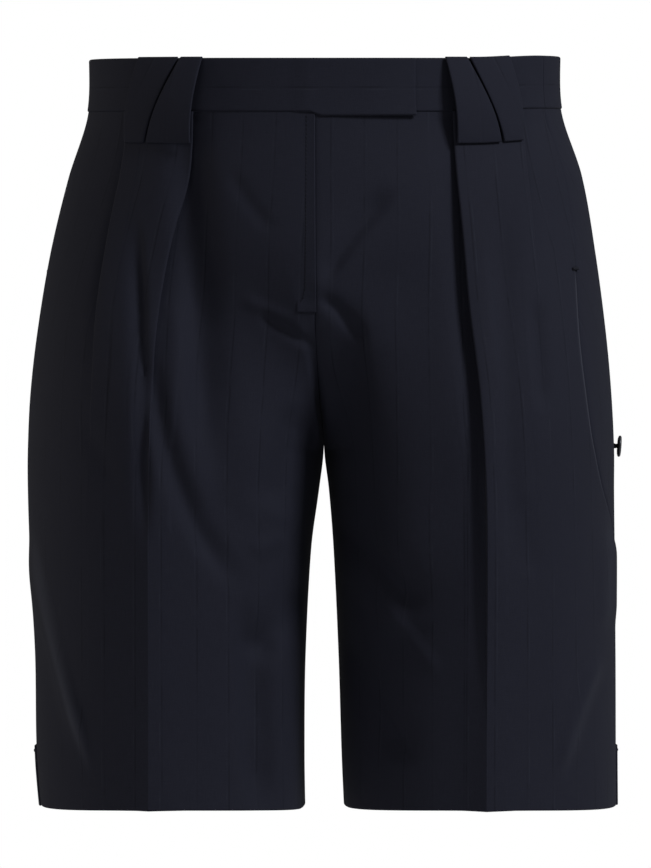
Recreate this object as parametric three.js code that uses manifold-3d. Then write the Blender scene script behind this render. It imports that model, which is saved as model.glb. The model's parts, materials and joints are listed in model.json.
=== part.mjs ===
// Pleated Bermuda shorts, filled out to a worn shape with nobody in them.
// Millimetres. +Z is up, the front of the shorts faces -Y, and +X is the wearer's left.
// The origin is the centre of the waistband, halfway up it, where the wearer's waist carries the garment.

import * as THREE from "three";
import { mergeVertices } from "three/addons/utils/BufferGeometryUtils.js";
import Module from "manifold-3d";

// Cloth and seams
const CLOTH = 1.1; // wall of a single layer of suiting
const HEM_LAYERS = 2.2; // wall where the hem is turned up inside
const SEAM_GAP = 0.3; // clearance between two neighbouring pieces
const BAND_WALL = 2.4; // waistband: cloth, interlining and cloth
const BAND_PROUD = 0.8; // how far the band stands out from the panels below it
const LOOP_WALL = 1.6; // belt loop: a folded and turned strip

// Heights
const BAND_TOP = 17;
const BAND_SEAM = -17;
const CROTCH = -236;
const HEM = -463;
const HEM_TURN_UP = 45;

// Shape of the figure inside
const LEG_MIDDLE_Y = 8; // the inseam lies this far behind the waist's centre
const FRONT_DIP = 5.5; // the waist tilts: lower in front, higher at the back
const DIP_CURVE = -1.5;
const HEM_ARCH = 4.4; // the hem hangs this much lower at the sides of a leg
const WAIST_DEPTH = 105;
const LEFT_RISE = { height: 2, from: 50, over: 40 }; // the waist's left side sits this much higher

// A table: the names of its columns, then its rows, as a list of objects with those names.
function rows(names, values) {
  const keys = names.split(" ");
  return values.map((row) => Object.fromEntries(keys.map((key, i) => [key, row[i]])));
}

// One row for each level. out is the distance from the middle plane to the side, in is to the inner leg,
// front and back are the depths, seam is where the side seam lies: 0 is the side, 1 is the centre front.
const SECTIONS = rows("z outRight outLeft inRight inLeft front back seamRight seamLeft", [
  [30, 152, 153, 0.15, 0.15, 103, 104, -0.05, 0.26],
  [-17, 153, 154, 0.15, 0.15, 104, 107, -0.05, 0.26],
  [-60, 166, 167.5, 0.15, 0.15, 110, 120, -0.06, 0.26],
  [-110, 178, 176.5, 0.15, 0.15, 115, 131, -0.06, 0.25],
  [-160, 186.4, 183.3, 0.15, 0.15, 117, 137, -0.06, 0.24],
  [-200, 191, 187, 0.15, 0.15, 117, 134, -0.06, 0.215],
  [-236, 192.7, 188.8, 0.15, 0.15, 115, 126, -0.05, 0.186],
  [-262, 192.7, 188.8, 3.4, 3.2, 113, 120, -0.05, 0.145],
  [-300, 191.5, 189.2, 8.6, 6.2, 110, 114, -0.03, 0.04],
  [-370, 188, 189.8, 12.2, 9.5, 104, 106, 0, -0.02],
  [-430, 187, 190, 12.7, 11.4, 100, 101, 0, -0.02],
  [-470, 183.6, 190.3, 12, 13.3, 98, 99, 0, -0.02],
]);

// The centre front lies a little to the wearer's right at the waist, and is in the middle at the crotch.
const CENTRE_FRONT = [
  { z: 30, x: -6.5 },
  { z: -150, x: -5.5 },
  { z: -200, x: -3 },
  { z: -236, x: 0 },
  { z: -470, x: 0 },
];

// Two pleats on each front. edge is the fold's distance from the middle plane, under is how deep the cloth
// goes back below it, and proud is how far the fold stands out. Below its release the main fold is a pressed
// crease.
const PLEAT_COLUMNS = "z mainEdge outerEdge mainUnder outerUnder mainProud outerProud";
const PLEATS_RIGHT = rows(PLEAT_COLUMNS, [
  [0, 81, 126, 10, 8, 2.5, 2.5],
  [-45, 84, 128.5, 9.5, 7, 2.6, 2.6],
  [-95, 94.5, 138.5, 5.6, 4.5, 3, 2.8],
  [-145, 103, 146, 2.6, 1.5, 3.4, 2.6],
  [-190, 107.5, 149.5, 0.8, -4, 3.6, 0],
  [-240, 109.3, 152, -3, -5, 1.6, 0],
  [-300, 109.6, 152, -5, -5, 0.2, 0],
  [-480, 109.8, 151, -5, -5, 0, 0],
]);
const PLEATS_LEFT = rows(PLEAT_COLUMNS, [
  [0, 80, 124, 11, 7, 2.5, 2.5],
  [-45, 82, 127, 10, 5.5, 2.7, 2.3],
  [-95, 86.5, 132.5, 7.8, 1.5, 3.3, 1.6],
  [-145, 91, 136.5, 5.5, -4, 3.8, 0],
  [-200, 97.5, 140, 2.4, -5, 4, 0],
  [-260, 101, 143, 0.6, -5, 4, 0],
  [-320, 101.9, 144, -4, -5, 1.6, 0],
  [-480, 102, 144, -5, -5, 0, 0],
]);

// The largest drape folds, seen from the front or the back. Each runs from one point to another, bows
// sideways in the middle, and is a trough where height is negative.
const FOLD_COLUMNS = "name fromX fromZ toX toZ bow width height";
const FRONT_FOLDS = rows(FOLD_COLUMNS, [
  ["right thigh drape", -106, -188, -58, -306, -10, 9, -5],
  ["right hollow beside the pleat", -74, -34, -64, -188, 0, 14, -5],
  ["right inner thigh hollow", -14, -216, -38, -274, 0, 15, -4],
  ["right inner leg, upper", -9, -320, -46, -372, 0, 11, -5],
  ["right inner leg, lower", -44, -350, -24, -450, -6, 13, -5],
  ["left hip to fly", 48, -66, 3, -128, 3, 9, -3.5],
  ["left below the fly", 3, -136, 16, -212, -11, 10, -4.5],
  ["left thigh drag line, upper", 4, -272, 60, -336, 3, 10, -6.5],
  ["left thigh ridge", 8, -304, 56, -352, 2, 9, 3],
  ["left thigh drag line, lower", 10, -328, 52, -432, 8, 12, -6.5],
]);
const BACK_FOLDS = rows(FOLD_COLUMNS, [
  ["right seat drag line", -12, -214, -92, -262, 8, 13, -6],
  ["left seat drag line", 12, -218, 98, -258, -8, 13, -6],
  ["right knee-back drape", -30, -300, -84, -392, 8, 13, -5],
  ["left knee-back drape", 30, -292, 78, -398, -9, 13, -5],
]);

// Pressed creases, sharp ridges down the front and back of each leg. They fade in below the hips.
const CREASE = { height: 4.2, reach: 34 };
const CREASE_FADE = { frontBegins: -150, frontFull: -300, backBegins: -190, backFull: -320 };
const BACK_CREASE_X = 104;

// How many columns and rows of points the cloth has.
const FRONT_STEPS = { side: 5, between: 3, centre: 13 };
const BACK_STEPS = { side: 10, centre: 8 };
const ROWS = { aboveCrotch: 15, belowCrotch: 10 };
const BAND_STEPS = { front: 14, backRight: 14, backLeft: 17, tabRise: 3, tab: 6, height: 2 };
const LOOP_STEPS = { front: 9, back: 8 };

// Parts sewn on
const TAB_END_X = 57; // the waistband's pointed-out end, past the fly
const FLY = { width: 11.5, overlap: 0.8, top: -17.6, bottom: -149, wall: 1.3 };
const POCKET = { top: -26, bottom: -119, fade: 12, lip: 0.8, lipReach: 8 };
const POCKET_FACING = { halfWidth: 13, wall: 1, behind: 0.8 };
const HEM_STRAP = { halfWidth: 11, height: 36, wall: 1.9 };
const BUTTON = { z: -233.7, radius: 7, rim: 1, wall: 2.2, shankRadius: 1.5, shank: 3 };
const BUTTON_HOLE = { radius: 0.9, offset: 2.4 };

const SUITING = { color: 0x1c1e27, roughness: 0.78, metalness: 0 };
const BUTTON_HORN = { color: 0x4a4a4c, roughness: 0.35, metalness: 0 };

const RIGHT = { sign: -1, out: "outRight", in: "inRight", seam: "seamRight", pleats: PLEATS_RIGHT };
const LEFT = { sign: 1, out: "outLeft", in: "inLeft", seam: "seamLeft", pleats: PLEATS_LEFT };

const { abs, cos, exp, hypot, max, min, PI, sin, sqrt } = Math;
const clamp01 = (t) => min(1, max(0, t));
const smooth = (t) => clamp01(t) ** 2 * (3 - 2 * clamp01(t));
const mix = (a, b, t) => a + (b - a) * t;
const steps = (from, to, count) => Array.from({ length: count + 1 }, (_, i) => mix(from, to, i / count));

// A column of a table at height z: cubic pieces whose slope at a row is that of the line through its two
// neighbours.
function column(table, key, z) {
  const last = table.length - 1;
  let i = table.findIndex((row) => row.z <= z) - 1;
  if (i === -2) i = last - 1;
  i = max(0, min(last - 1, i));
  const slope = (k) => {
    const a = table[max(0, k - 1)];
    const b = table[min(last, k + 1)];
    return (b[key] - a[key]) / (b.z - a.z);
  };
  const [p, q] = [table[i], table[i + 1]];
  const span = q.z - p.z;
  const t = clamp01((z - p.z) / span);
  return (
    (1 + 2 * t) * (1 - t) ** 2 * p[key] + t * t * (3 - 2 * t) * q[key] +
    span * (t * (1 - t) ** 2 * slope(i) - t * t * (1 - t) * slope(i + 1))
  );
}

// How far a level has turned from one oval into two legs, from 0 to 1.
const LEGS_BEGIN = -60;
const legShare = (z) => smooth((LEGS_BEGIN - z) / (LEGS_BEGIN - CROTCH));

// The centre seam in side view: straight down, then a quarter circle back to the crotch, where the power is a
// half. Away from the seam the power is higher, so that the turn has no edge where it meets the inner leg.
const SEAM_TURN_FRONT = -95;
const SEAM_TURN_BACK = -105;
const FORK = { seamPower: 0.5, legPower: 1.5, from: 0.6 };
function seamShare(t, z, isBack) {
  const start = isBack ? SEAM_TURN_BACK : SEAM_TURN_FRONT;
  const k = clamp01((start - z) / (start - CROTCH));
  const power = mix(FORK.legPower, FORK.seamPower, smooth((t - FORK.from) / (1 - FORK.from)));
  return 1 - (1 - k * k) ** power;
}

// A point of the smooth figure: tau is 0 at the side, 1 at the centre front or inseam, -1 at the centre back.
function figure(side, tau, z) {
  const t = abs(tau);
  const isBack = tau < 0;
  const out = column(SECTIONS, side.out, z);
  const inner = column(SECTIONS, side.in, z);
  const depth = column(SECTIONS, isBack ? "back" : "front", z) * (isBack ? 1 : -1);
  const legs = legShare(z);
  const nearCentre = smooth((t - 0.45) / 0.55);
  const share = mix(legs, seamShare(t, z, isBack), nearCentre);
  const x = mix(out * cos((t * PI) / 2), (out + inner) / 2 + ((out - inner) / 2) * cos(t * PI), legs);
  const y = mix(depth * sin((t * PI) / 2), LEG_MIDDLE_Y + (depth - LEG_MIDDLE_Y) * sin(t * PI), share);
  const shift = isBack ? 0 : column(CENTRE_FRONT, "x", z) * nearCentre;
  return new THREE.Vector3(side.sign * x + shift, y, z);
}

// The figure's outward direction, from small steps round the section and up.
function outward(side, tau, z) {
  const round = figure(side, tau + 1e-3, z).sub(figure(side, tau - 1e-3, z));
  const up = figure(side, tau, z + 0.5).sub(figure(side, tau, z - 0.5));
  return up.cross(round).multiplyScalar(side.sign).normalize();
}

// The waist tilts: every point near it drops in front and rises at the back, fading out over the hips, and
// the left side sits a little higher.
// The hem is arched: it hangs lower at the sides than in front and at the back.
function tilted(point) {
  const depth = point.y / WAIST_DEPTH;
  const nearWaist = smooth((point.z + 170) / 120);
  const nearHem = smooth((HEM + 60 - point.z) / 60);
  const across = (point.y - LEG_MIDDLE_Y) / WAIST_DEPTH;
  const left = LEFT_RISE.height * smooth((point.x - LEFT_RISE.from) / LEFT_RISE.over);
  point.z += nearWaist * (FRONT_DIP * depth + DIP_CURVE * depth * depth + left);
  point.z -= nearHem * HEM_ARCH * max(0, 1 - across * across);
  return point;
}

// A point that lies n outside the figure. It stays on its own side of the centre seam.
function place(side, tau, z, n) {
  const point = figure(side, tau, z).addScaledVector(outward(side, tau, z), n);
  const centre = tau < 0 ? 0 : column(CENTRE_FRONT, "x", z);
  point.x = centre + side.sign * max(side.sign * (point.x - centre), SEAM_GAP / 2);
  return tilted(point);
}

// Length of cloth round one unit of tau, from side to centre.
function girth(side, z, sign) {
  let length = 0;
  for (const [i, t] of steps(0, 1, 24).entries())
    if (i) length += figure(side, sign * t, z).distanceTo(figure(side, sign * (t - 1 / 24), z));
  return length;
}

// The tau of the front or back surface at a distance x from the middle plane.
function tauAt(side, x, z, sign = 1) {
  let [low, high] = [0, 1];
  for (let i = 0; i < 30; i++) {
    const middle = (low + high) / 2;
    if (side.sign * figure(side, sign * middle, z).x > x) low = middle;
    else high = middle;
  }
  return (sign * (low + high)) / 2;
}

// Sum of the drape folds of a table at a point of the front or back view.
function drape(folds, x, z) {
  let sum = 0;
  for (const f of folds) {
    const [dx, dz] = [f.toX - f.fromX, f.toZ - f.fromZ];
    const length = hypot(dx, dz);
    const along = ((x - f.fromX) * dx + (z - f.fromZ) * dz) / length ** 2;
    const across = ((x - f.fromX) * dz - (z - f.fromZ) * dx) / length - f.bow * 4 * along * (1 - along);
    const taper = smooth(along / 0.25) * smooth((1 - along) / 0.25);
    sum += f.height * taper * exp(-((across / f.width) ** 2));
  }
  return sum;
}

// A pressed crease is a ridge with a sharp top, s away from the crease line.
const crease = (s, height) => height * clamp01(1 - abs(s) / CREASE.reach) ** 2;
const fadeIn = (z, begins, full) => smooth((begins - z) / (begins - full));

// Inner wall of a panel: the hem is turned up inside, so the wall is double there.
const HEM_STEP = 6;
const wallAt = (z) => mix(CLOTH, HEM_LAYERS, smooth((HEM + HEM_TURN_UP - z) / HEM_STEP));

// A fold's turns are blunt on the outside and their corner points lie apart on the inside. Plain cloth starts
// again past the fold, at `beyond` on the open side and `before` on the closed side.
const FOLD = { blunt: 0.6, apart: 0.3, beyond: 15, before: 13 };

// The four columns of one pleat, in the section's own plane: s runs round the body away from the fold's edge,
// n outwards. The cloth comes along on top, turns at the edge, goes back by `under`, turns again and runs on.
// Walls are offset to both sides of that line, mitred on the inside of each turn and blunt on the outside.
function pleatColumns(under, proud, wall) {
  const half = wall / 2;
  const length = hypot(under, proud) || 1e-6;
  const back = { s: -under / length, n: -proud / length };
  const side = { s: -back.n, n: back.s };
  const mitre = { s: (half * side.s) / (1 + side.n), n: half };
  const edge = { s: 0, n: proud - half };
  const turn = { s: -under, n: -half };
  const [blunt, apart] = [FOLD.blunt, FOLD.apart];
  return [
    { out: [edge.s - blunt, edge.n + half], in: [edge.s - mitre.s - apart, edge.n - mitre.n] },
    {
      out: [edge.s + blunt * back.s + half * side.s, edge.n + blunt * back.n + half * side.n],
      in: [edge.s - mitre.s + apart * back.s, edge.n - mitre.n + apart * back.n],
    },
    {
      out: [turn.s + mitre.s - apart * back.s, turn.n + mitre.n - apart * back.n],
      in: [turn.s - blunt * back.s - half * side.s, turn.n - blunt * back.n - half * side.n],
    },
    { out: [turn.s + mitre.s + apart, turn.n + mitre.n], in: [turn.s + blunt, turn.n - half] },
  ];
}

// One row of a front panel, as pairs of outer and inner points from the side seam to the centre.
function frontRow(side, z) {
  const unit = girth(side, z, 1);
  const wall = wallAt(z);
  const pleat = (key) => column(side.pleats, key, z);
  const mainTau = tauAt(side, pleat("mainEdge"), z);
  const outerTau = tauAt(side, pleat("outerEdge"), z);
  const from = column(SECTIONS, side.seam, z) + SEAM_GAP / 2 / unit;
  const to = 1 - SEAM_GAP / 2 / unit;
  const columns = [];
  const plain = (tau, n) => columns.push({ tau, out: [0, n], in: [0, n - wall] });
  for (const tau of steps(from, outerTau - FOLD.beyond / unit, FRONT_STEPS.side)) plain(tau, 0);
  const outer = pleatColumns(pleat("outerUnder"), pleat("outerProud"), wall).reverse();
  for (const c of outer) columns.push({ tau: outerTau, out: [-c.out[0], c.out[1]], in: [-c.in[0], c.in[1]] });
  for (const t of steps(0, 1, FRONT_STEPS.between)) {
    const tau = mix(outerTau + FOLD.before / unit, mainTau - FOLD.before / unit, t);
    plain(tau, mix(pleat("outerProud"), pleat("mainProud"), smooth(t)));
  }
  const main = pleatColumns(pleat("mainUnder"), pleat("mainProud"), wall);
  for (const c of main) columns.push({ tau: mainTau, ...c });
  for (const tau of steps(mainTau + FOLD.beyond / unit, to, FRONT_STEPS.centre)) plain(tau, 0);
  const creaseHeight = CREASE.height * fadeIn(z, CREASE_FADE.frontBegins, CREASE_FADE.frontFull);
  const mouth = smooth((POCKET.top - z) / POCKET.fade) * smooth((z - POCKET.bottom) / POCKET.fade);
  return columns.map((c) => {
    const point = ([s, n]) => {
      const tau = c.tau + s / unit;
      const at = figure(side, tau, z);
      const lip = POCKET.lip * mouth * exp(-((tau - from) * unit) / POCKET.lipReach);
      const rise = drape(FRONT_FOLDS, at.x, z) + crease((tau - mainTau) * unit, creaseHeight) + lip;
      return place(side, tau, z, n + rise);
    };
    return { out: point(c.out), in: point(c.in) };
  });
}

// One row of a back panel, from the side seam to the centre back or inseam.
const SIDE_CALM = 0.2; // the drape fades out over this much of tau beside the seam
function backRow(side, z) {
  const unit = girth(side, z, -1);
  const wall = wallAt(z);
  const from = column(SECTIONS, side.seam, z) - SEAM_GAP / 2 / unit;
  const to = -1 + SEAM_GAP / 2 / unit;
  const creaseTau = tauAt(side, BACK_CREASE_X, z, -1);
  const creaseHeight = CREASE.height * fadeIn(z, CREASE_FADE.backBegins, CREASE_FADE.backFull);
  const sidePart = steps(from, creaseTau, BACK_STEPS.side);
  const centrePart = steps(creaseTau, to, BACK_STEPS.centre).slice(1);
  return [...sidePart, ...centrePart].map((tau) => {
    const rise = drape(BACK_FOLDS, figure(side, tau, z).x, z) * smooth(-tau / SIDE_CALM) +
      crease((tau - creaseTau) * unit, creaseHeight);
    return { out: place(side, tau, z, rise), in: place(side, tau, z, rise - wall) };
  });
}

// Levels of a panel's rows: close together where the centre seam turns under, even below the crotch.
const ROW_CROWDING = 0.55;
function panelLevels() {
  const top = BAND_SEAM - SEAM_GAP / 2;
  const crowded = (t) => mix(t, sin((t * PI) / 2), ROW_CROWDING);
  const above = steps(0, 1, ROWS.aboveCrotch).map((t) => mix(top, CROTCH, crowded(t)));
  return [...above, ...steps(CROTCH, HEM, ROWS.belowCrotch).slice(1)];
}

// A closed wall from rows of paired outer and inner points. Faces are turned round if the volume is negative.
function wallGeometry(rows) {
  const [height, width] = [rows.length, rows[0].length];
  const positions = [];
  for (const layer of ["out", "in"])
    for (const row of rows) for (const pair of row) positions.push(...pair[layer].toArray());
  const id = (layer, r, c) => (layer * height + r) * width + c;
  const triangles = [];
  const quad = (a, b, c, d) => triangles.push([a, b, c], [a, c, d]);
  for (let r = 0; r + 1 < height; r++)
    for (let c = 0; c + 1 < width; c++) {
      quad(id(0, r, c), id(0, r + 1, c), id(0, r + 1, c + 1), id(0, r, c + 1));
      quad(id(1, r, c), id(1, r, c + 1), id(1, r + 1, c + 1), id(1, r + 1, c));
    }
  for (let c = 0; c + 1 < width; c++) {
    quad(id(0, 0, c), id(0, 0, c + 1), id(1, 0, c + 1), id(1, 0, c));
    quad(id(0, height - 1, c + 1), id(0, height - 1, c), id(1, height - 1, c), id(1, height - 1, c + 1));
  }
  for (let r = 0; r + 1 < height; r++) {
    quad(id(0, r + 1, 0), id(0, r, 0), id(1, r, 0), id(1, r + 1, 0));
    quad(id(0, r, width - 1), id(0, r + 1, width - 1), id(1, r + 1, width - 1), id(1, r, width - 1));
  }
  const geometry = new THREE.BufferGeometry();
  geometry.setAttribute("position", new THREE.Float32BufferAttribute(positions, 3));
  const corner = (i) => new THREE.Vector3().fromArray(positions, 3 * i);
  const volume = triangles.reduce((sum, [a, b, c]) => sum + corner(a).dot(corner(b).cross(corner(c))), 0);
  geometry.setIndex(triangles.flatMap(([a, b, c]) => (volume > 0 ? [a, b, c] : [a, c, b])));
  geometry.computeVertexNormals();
  return geometry;
}

// A band between two heights along stations round the body, each with its own stand-off n.
function bandGeometry(stations, low, high, wall) {
  const pair = (z, { side, tau, n }) => ({ out: place(side, tau, z, n + wall), in: place(side, tau, z, n) });
  return wallGeometry(steps(high, low, BAND_STEPS.height).map((z) => stations.map((at) => pair(z, at))));
}

// The side of the body and tau for a signed x on the front or back.
function stationAt(x, z, sign = 1) {
  const middle = sign > 0 ? column(CENTRE_FRONT, "x", z) : 0;
  const side = x < middle ? RIGHT : LEFT;
  return { side, tau: tauAt(side, side.sign * x, z, sign) };
}

const BAND_LOW = BAND_SEAM + SEAM_GAP / 2;
const BAND_IN = BAND_PROUD - BAND_WALL;
const TAB_LIFT = BAND_WALL + SEAM_GAP;
const TAB_RISE = { from: 14, to: 2 }; // the tab lifts over the left band between these, from the centre
const BAND_END = 1.5; // the left band ends this far from the centre

// Waistband of the wearer's right front, which runs on past the fly as the overlapping tab.
function bandRightGeometry() {
  const unit = girth(RIGHT, 0, 1);
  const seam = column(SECTIONS, "seamRight", 0) + SEAM_GAP / 2 / unit;
  const [near, lifted] = [1 - TAB_RISE.from / unit, 1 - TAB_RISE.to / unit];
  const stations = steps(seam, near, BAND_STEPS.front).map((tau) => ({ side: RIGHT, tau, n: BAND_IN }));
  for (const t of steps(0, 1, BAND_STEPS.tabRise).slice(1))
    stations.push({ side: RIGHT, tau: mix(near, lifted, t), n: BAND_IN + TAB_LIFT * smooth(t) });
  const end = tauAt(LEFT, TAB_END_X, 0);
  const n = BAND_IN + TAB_LIFT;
  for (const tau of steps(lifted, end, BAND_STEPS.tab)) stations.push({ side: LEFT, tau, n });
  return bandGeometry(stations, BAND_LOW, BAND_TOP, BAND_WALL);
}

// Waistband of the wearer's left front, whose end lies under the tab.
function bandLeftGeometry() {
  const unit = girth(LEFT, 0, 1);
  const seam = column(SECTIONS, "seamLeft", 0) + SEAM_GAP / 2 / unit;
  const taus = steps(seam, 1 - BAND_END / unit, BAND_STEPS.front);
  const stations = taus.map((tau) => ({ side: LEFT, tau, n: BAND_IN }));
  return bandGeometry(stations, BAND_LOW, BAND_TOP, BAND_WALL);
}

// Waistband of the back, in one piece from side seam to side seam.
function bandBackGeometry() {
  const stations = [];
  for (const [side, count] of [[RIGHT, BAND_STEPS.backRight], [LEFT, BAND_STEPS.backLeft]]) {
    const unit = girth(side, 0, -1);
    const seam = column(SECTIONS, side.seam, 0) - SEAM_GAP / 2 / unit;
    const half = steps(seam, -1, count).map((tau) => ({ side, tau, n: BAND_IN }));
    stations.push(...(side === RIGHT ? half : half.reverse().slice(1)));
  }
  return bandGeometry(stations, BAND_LOW, BAND_TOP, BAND_WALL);
}

// A strip that runs down over the surface: each row gives a height, the stand-off of its under side,
// and its two edges. The strip's ends lean with it, so its wall keeps its thickness.
function stripGeometry(rows, wall, sign = 1, across = 4) {
  return wallGeometry(
    rows.map((row, i) => {
      const a = rows[max(0, i - 1)];
      const b = rows[min(rows.length - 1, i + 1)];
      const [dn, dz] = [b.n - a.n, b.z - a.z];
      const length = hypot(dn, dz);
      const [toN, toZ] = [(-dz / length) * wall, (dn / length) * wall];
      return steps(row.fromX, row.toX, across).map((x) => {
        const { side, tau } = stationAt(x, min(row.z, BAND_TOP), sign);
        return {
          out: place(side, tau, row.z + toZ, row.n + toN),
          in: place(side, tau, row.z, row.n),
        };
      });
    })
  );
}

// The front belt loops come in pairs with a slanting gap: an outer strip that narrows downwards, and beside
// it, standing a little further out, one that widens.
// Edges are distances from the middle plane, seat is the stand-off of what carries the strip at each end, and
// bulge is the room for a belt behind its middle.
const LOOP_TOP = BAND_TOP + 0.6;
const LOOP_BOTTOM = -37.5;
const LOOP_SEAT = 1.1; // stand-off of a loop's ends from the band and the cloth
const bulgeAt = (t, bulge) => bulge * sin(t * PI) ** 0.8;
const CROSSED_LOOPS = rows("name topInner topOuter lowInner lowOuter seatTop seatLow bulge", [
  ["over", 75.6, 89.5, 82.5, 110.5, 1.4, 3.1, 7.8],
  ["under", 91, 116.5, 112, 124.5, LOOP_SEAT, 2.8, 6.2],
]);
function crossedLoopGeometry(side, loop) {
  const rows = steps(0, 1, LOOP_STEPS.front).map((t) => {
    const z = mix(LOOP_TOP, LOOP_BOTTOM, t);
    const edges = [mix(loop.topInner, loop.lowInner, t), mix(loop.topOuter, loop.lowOuter, t)];
    const n = mix(loop.seatTop, loop.seatLow, smooth(t)) + bulgeAt(t, loop.bulge);
    return { z, n, fromX: side.sign * edges[0], toX: side.sign * edges[1] };
  });
  return stripGeometry(rows, LOOP_WALL);
}

// The back carries plain upright loops.
const BACK_LOOP = { halfWidth: 8, bottom: -30, bulge: 6.6 };
const BACK_LOOP_X = { right: -72, centre: 0, left: 72 };
function backLoopGeometry(x) {
  const rows = steps(0, 1, LOOP_STEPS.back).map((t) => ({
    z: mix(LOOP_TOP, BACK_LOOP.bottom, t),
    n: LOOP_SEAT + bulgeAt(t, BACK_LOOP.bulge),
    fromX: x - BACK_LOOP.halfWidth,
    toX: x + BACK_LOOP.halfWidth,
  }));
  return stripGeometry(rows, LOOP_WALL, -1, 2);
}

// The fly's overlap: a narrow strip down the wearer's right front, its free edge on the centre line.
function flyGeometry() {
  const rows = steps(0, 1, 9).map((t) => {
    const z = mix(FLY.top, FLY.bottom, t);
    const centre = column(CENTRE_FRONT, "x", z);
    return steps(centre - FLY.width, centre + FLY.overlap, 3).map((x) => {
      const { side, tau } = stationAt(x, z);
      const n = drape(FRONT_FOLDS, x, z) + SEAM_GAP;
      return { out: place(side, tau, z, n + FLY.wall), in: place(side, tau, z, n) };
    });
  });
  return wallGeometry(rows);
}

// A facing behind the mouth of the side pocket, just inside both panels.
function pocketGeometry(side) {
  const rows = steps(0, 1, 6).map((t) => {
    const z = mix(POCKET.top, POCKET.bottom, t);
    const reach = POCKET_FACING.halfWidth / girth(side, z, 1);
    const seam = column(SECTIONS, side.seam, z);
    const inside = -CLOTH - POCKET_FACING.behind;
    return steps(seam - reach, seam + reach, 3).map((tau) => ({
      out: place(side, tau, z, inside),
      in: place(side, tau, z, inside - POCKET_FACING.wall),
    }));
  });
  return wallGeometry(rows);
}

// A strap stands on the hem at the side of the leg, its upper end turned over and rounded.
function hemStrapGeometry(side) {
  const rows = steps(0, 1, 7).map((t) => {
    const z = mix(HEM + HEM_STRAP.height, HEM, t);
    const seam = column(SECTIONS, side.seam, z);
    const roundEnd = sqrt(1 - (1 - clamp01(t / 0.18)) ** 2);
    const reach = (HEM_STRAP.halfWidth * mix(0.55, 1, roundEnd)) / girth(side, z, 1);
    const wall = HEM_STRAP.wall * mix(0.5, 1, roundEnd);
    return steps(seam - reach, seam + reach, 4).map((tau) => ({
      out: place(side, tau, z, SEAM_GAP + wall),
      in: place(side, tau, z, SEAM_GAP),
    }));
  });
  return wallGeometry(rows);
}

// A four-hole button on its thread shank: a turned disc with a raised rim, and the holes cut through it.
const wasm = await Module();
wasm.setup();
function solid(geometry) {
  const bare = geometry.clone();
  bare.deleteAttribute("normal");
  bare.deleteAttribute("uv");
  const merged = mergeVertices(bare, 1e-4);
  return new wasm.Manifold(
    new wasm.Mesh({
      numProp: 3,
      vertProperties: new Float32Array(merged.attributes.position.array),
      triVerts: new Uint32Array(merged.index.array),
    })
  );
}
function buttonGeometry() {
  const { radius, rim, wall, shank, shankRadius } = BUTTON;
  const profile = [
    [0, 0], [shankRadius, 0], [shankRadius, shank], [radius - rim, shank], [radius, shank + wall * 0.5],
    [radius - rim * 0.4, shank + wall], [radius - rim * 1.6, shank + wall * 0.7], [0, shank + wall * 0.65],
  ];
  const turned = new THREE.LatheGeometry(profile.map(([r, h]) => new THREE.Vector2(r, h)), 28);
  let body = solid(turned);
  for (const i of [0, 1, 2, 3]) {
    const hole = new THREE.CylinderGeometry(BUTTON_HOLE.radius, BUTTON_HOLE.radius, 3 * wall, 10);
    const angle = PI / 4 + (i * PI) / 2;
    hole.translate(BUTTON_HOLE.offset * cos(angle), shank + 2.3 * wall, BUTTON_HOLE.offset * sin(angle));
    body = body.subtract(solid(hole));
  }
  const { vertProperties, triVerts } = body.getMesh();
  const geometry = new THREE.BufferGeometry();
  geometry.setAttribute("position", new THREE.BufferAttribute(new Float32Array(vertProperties), 3));
  geometry.setIndex(new THREE.BufferAttribute(new Uint32Array(triVerts), 1));
  geometry.computeVertexNormals();
  return geometry;
}

const BUTTON_BEHIND_SEAM = 0.19; // in tau: the button sits on the back panel, behind the side seam
const BUTTON_DROOP = 0.1;
function placeButton(mesh, side) {
  const tau = column(SECTIONS, side.seam, BUTTON.z) - BUTTON_BEHIND_SEAM;
  const foot = place(side, tau, BUTTON.z, SEAM_GAP);
  const axis = outward(side, tau, BUTTON.z);
  axis.z -= BUTTON_DROOP;
  mesh.position.copy(foot);
  mesh.quaternion.setFromUnitVectors(new THREE.Vector3(0, 1, 0), axis.normalize());
}

const shorts = new THREE.Group();
shorts.name = "bermuda_shorts";
function add(name, geometry, look = SUITING) {
  const mesh = new THREE.Mesh(geometry, new THREE.MeshStandardMaterial(look));
  mesh.name = name;
  shorts.add(mesh);
  return mesh;
}

const levels = panelLevels();
for (const [word, side] of [["right", RIGHT], ["left", LEFT]]) {
  add(`front_${word}`, wallGeometry(levels.map((z) => frontRow(side, z))));
  add(`back_${word}`, wallGeometry(levels.map((z) => backRow(side, z))));
  add(`pocket_facing_${word}`, pocketGeometry(side));
  add(`hem_strap_${word}`, hemStrapGeometry(side));
  for (const loop of CROSSED_LOOPS) add(`belt_loop_${word}_${loop.name}`, crossedLoopGeometry(side, loop));
  placeButton(add(`button_${word}`, buttonGeometry(), BUTTON_HORN), side);
}
add("waistband_right", bandRightGeometry());
add("waistband_left", bandLeftGeometry());
add("waistband_back", bandBackGeometry());
add("fly_overlap", flyGeometry());
for (const [word, x] of Object.entries(BACK_LOOP_X)) add(`belt_loop_back_${word}`, backLoopGeometry(x));

export default shorts;
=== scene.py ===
# %% [markdown]
# # Pleated knee-length shorts in dark pinstripe suiting
#
# The shorts are filled out as if worn, hollow, and open at the waist and at both hems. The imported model
# gives their pieces and real size. This script dresses it: every panel, band, loop and button gets a
# finer surface in the same place, and every surface gets a material.
#
# Lengths in the tables are millimetres, because a tailor's numbers are easier to read that way. They
# become metres when a mesh is made. +Z is up, the front faces -Y, and +X is the wearer's left. The origin
# is the centre of the waistband.

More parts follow.
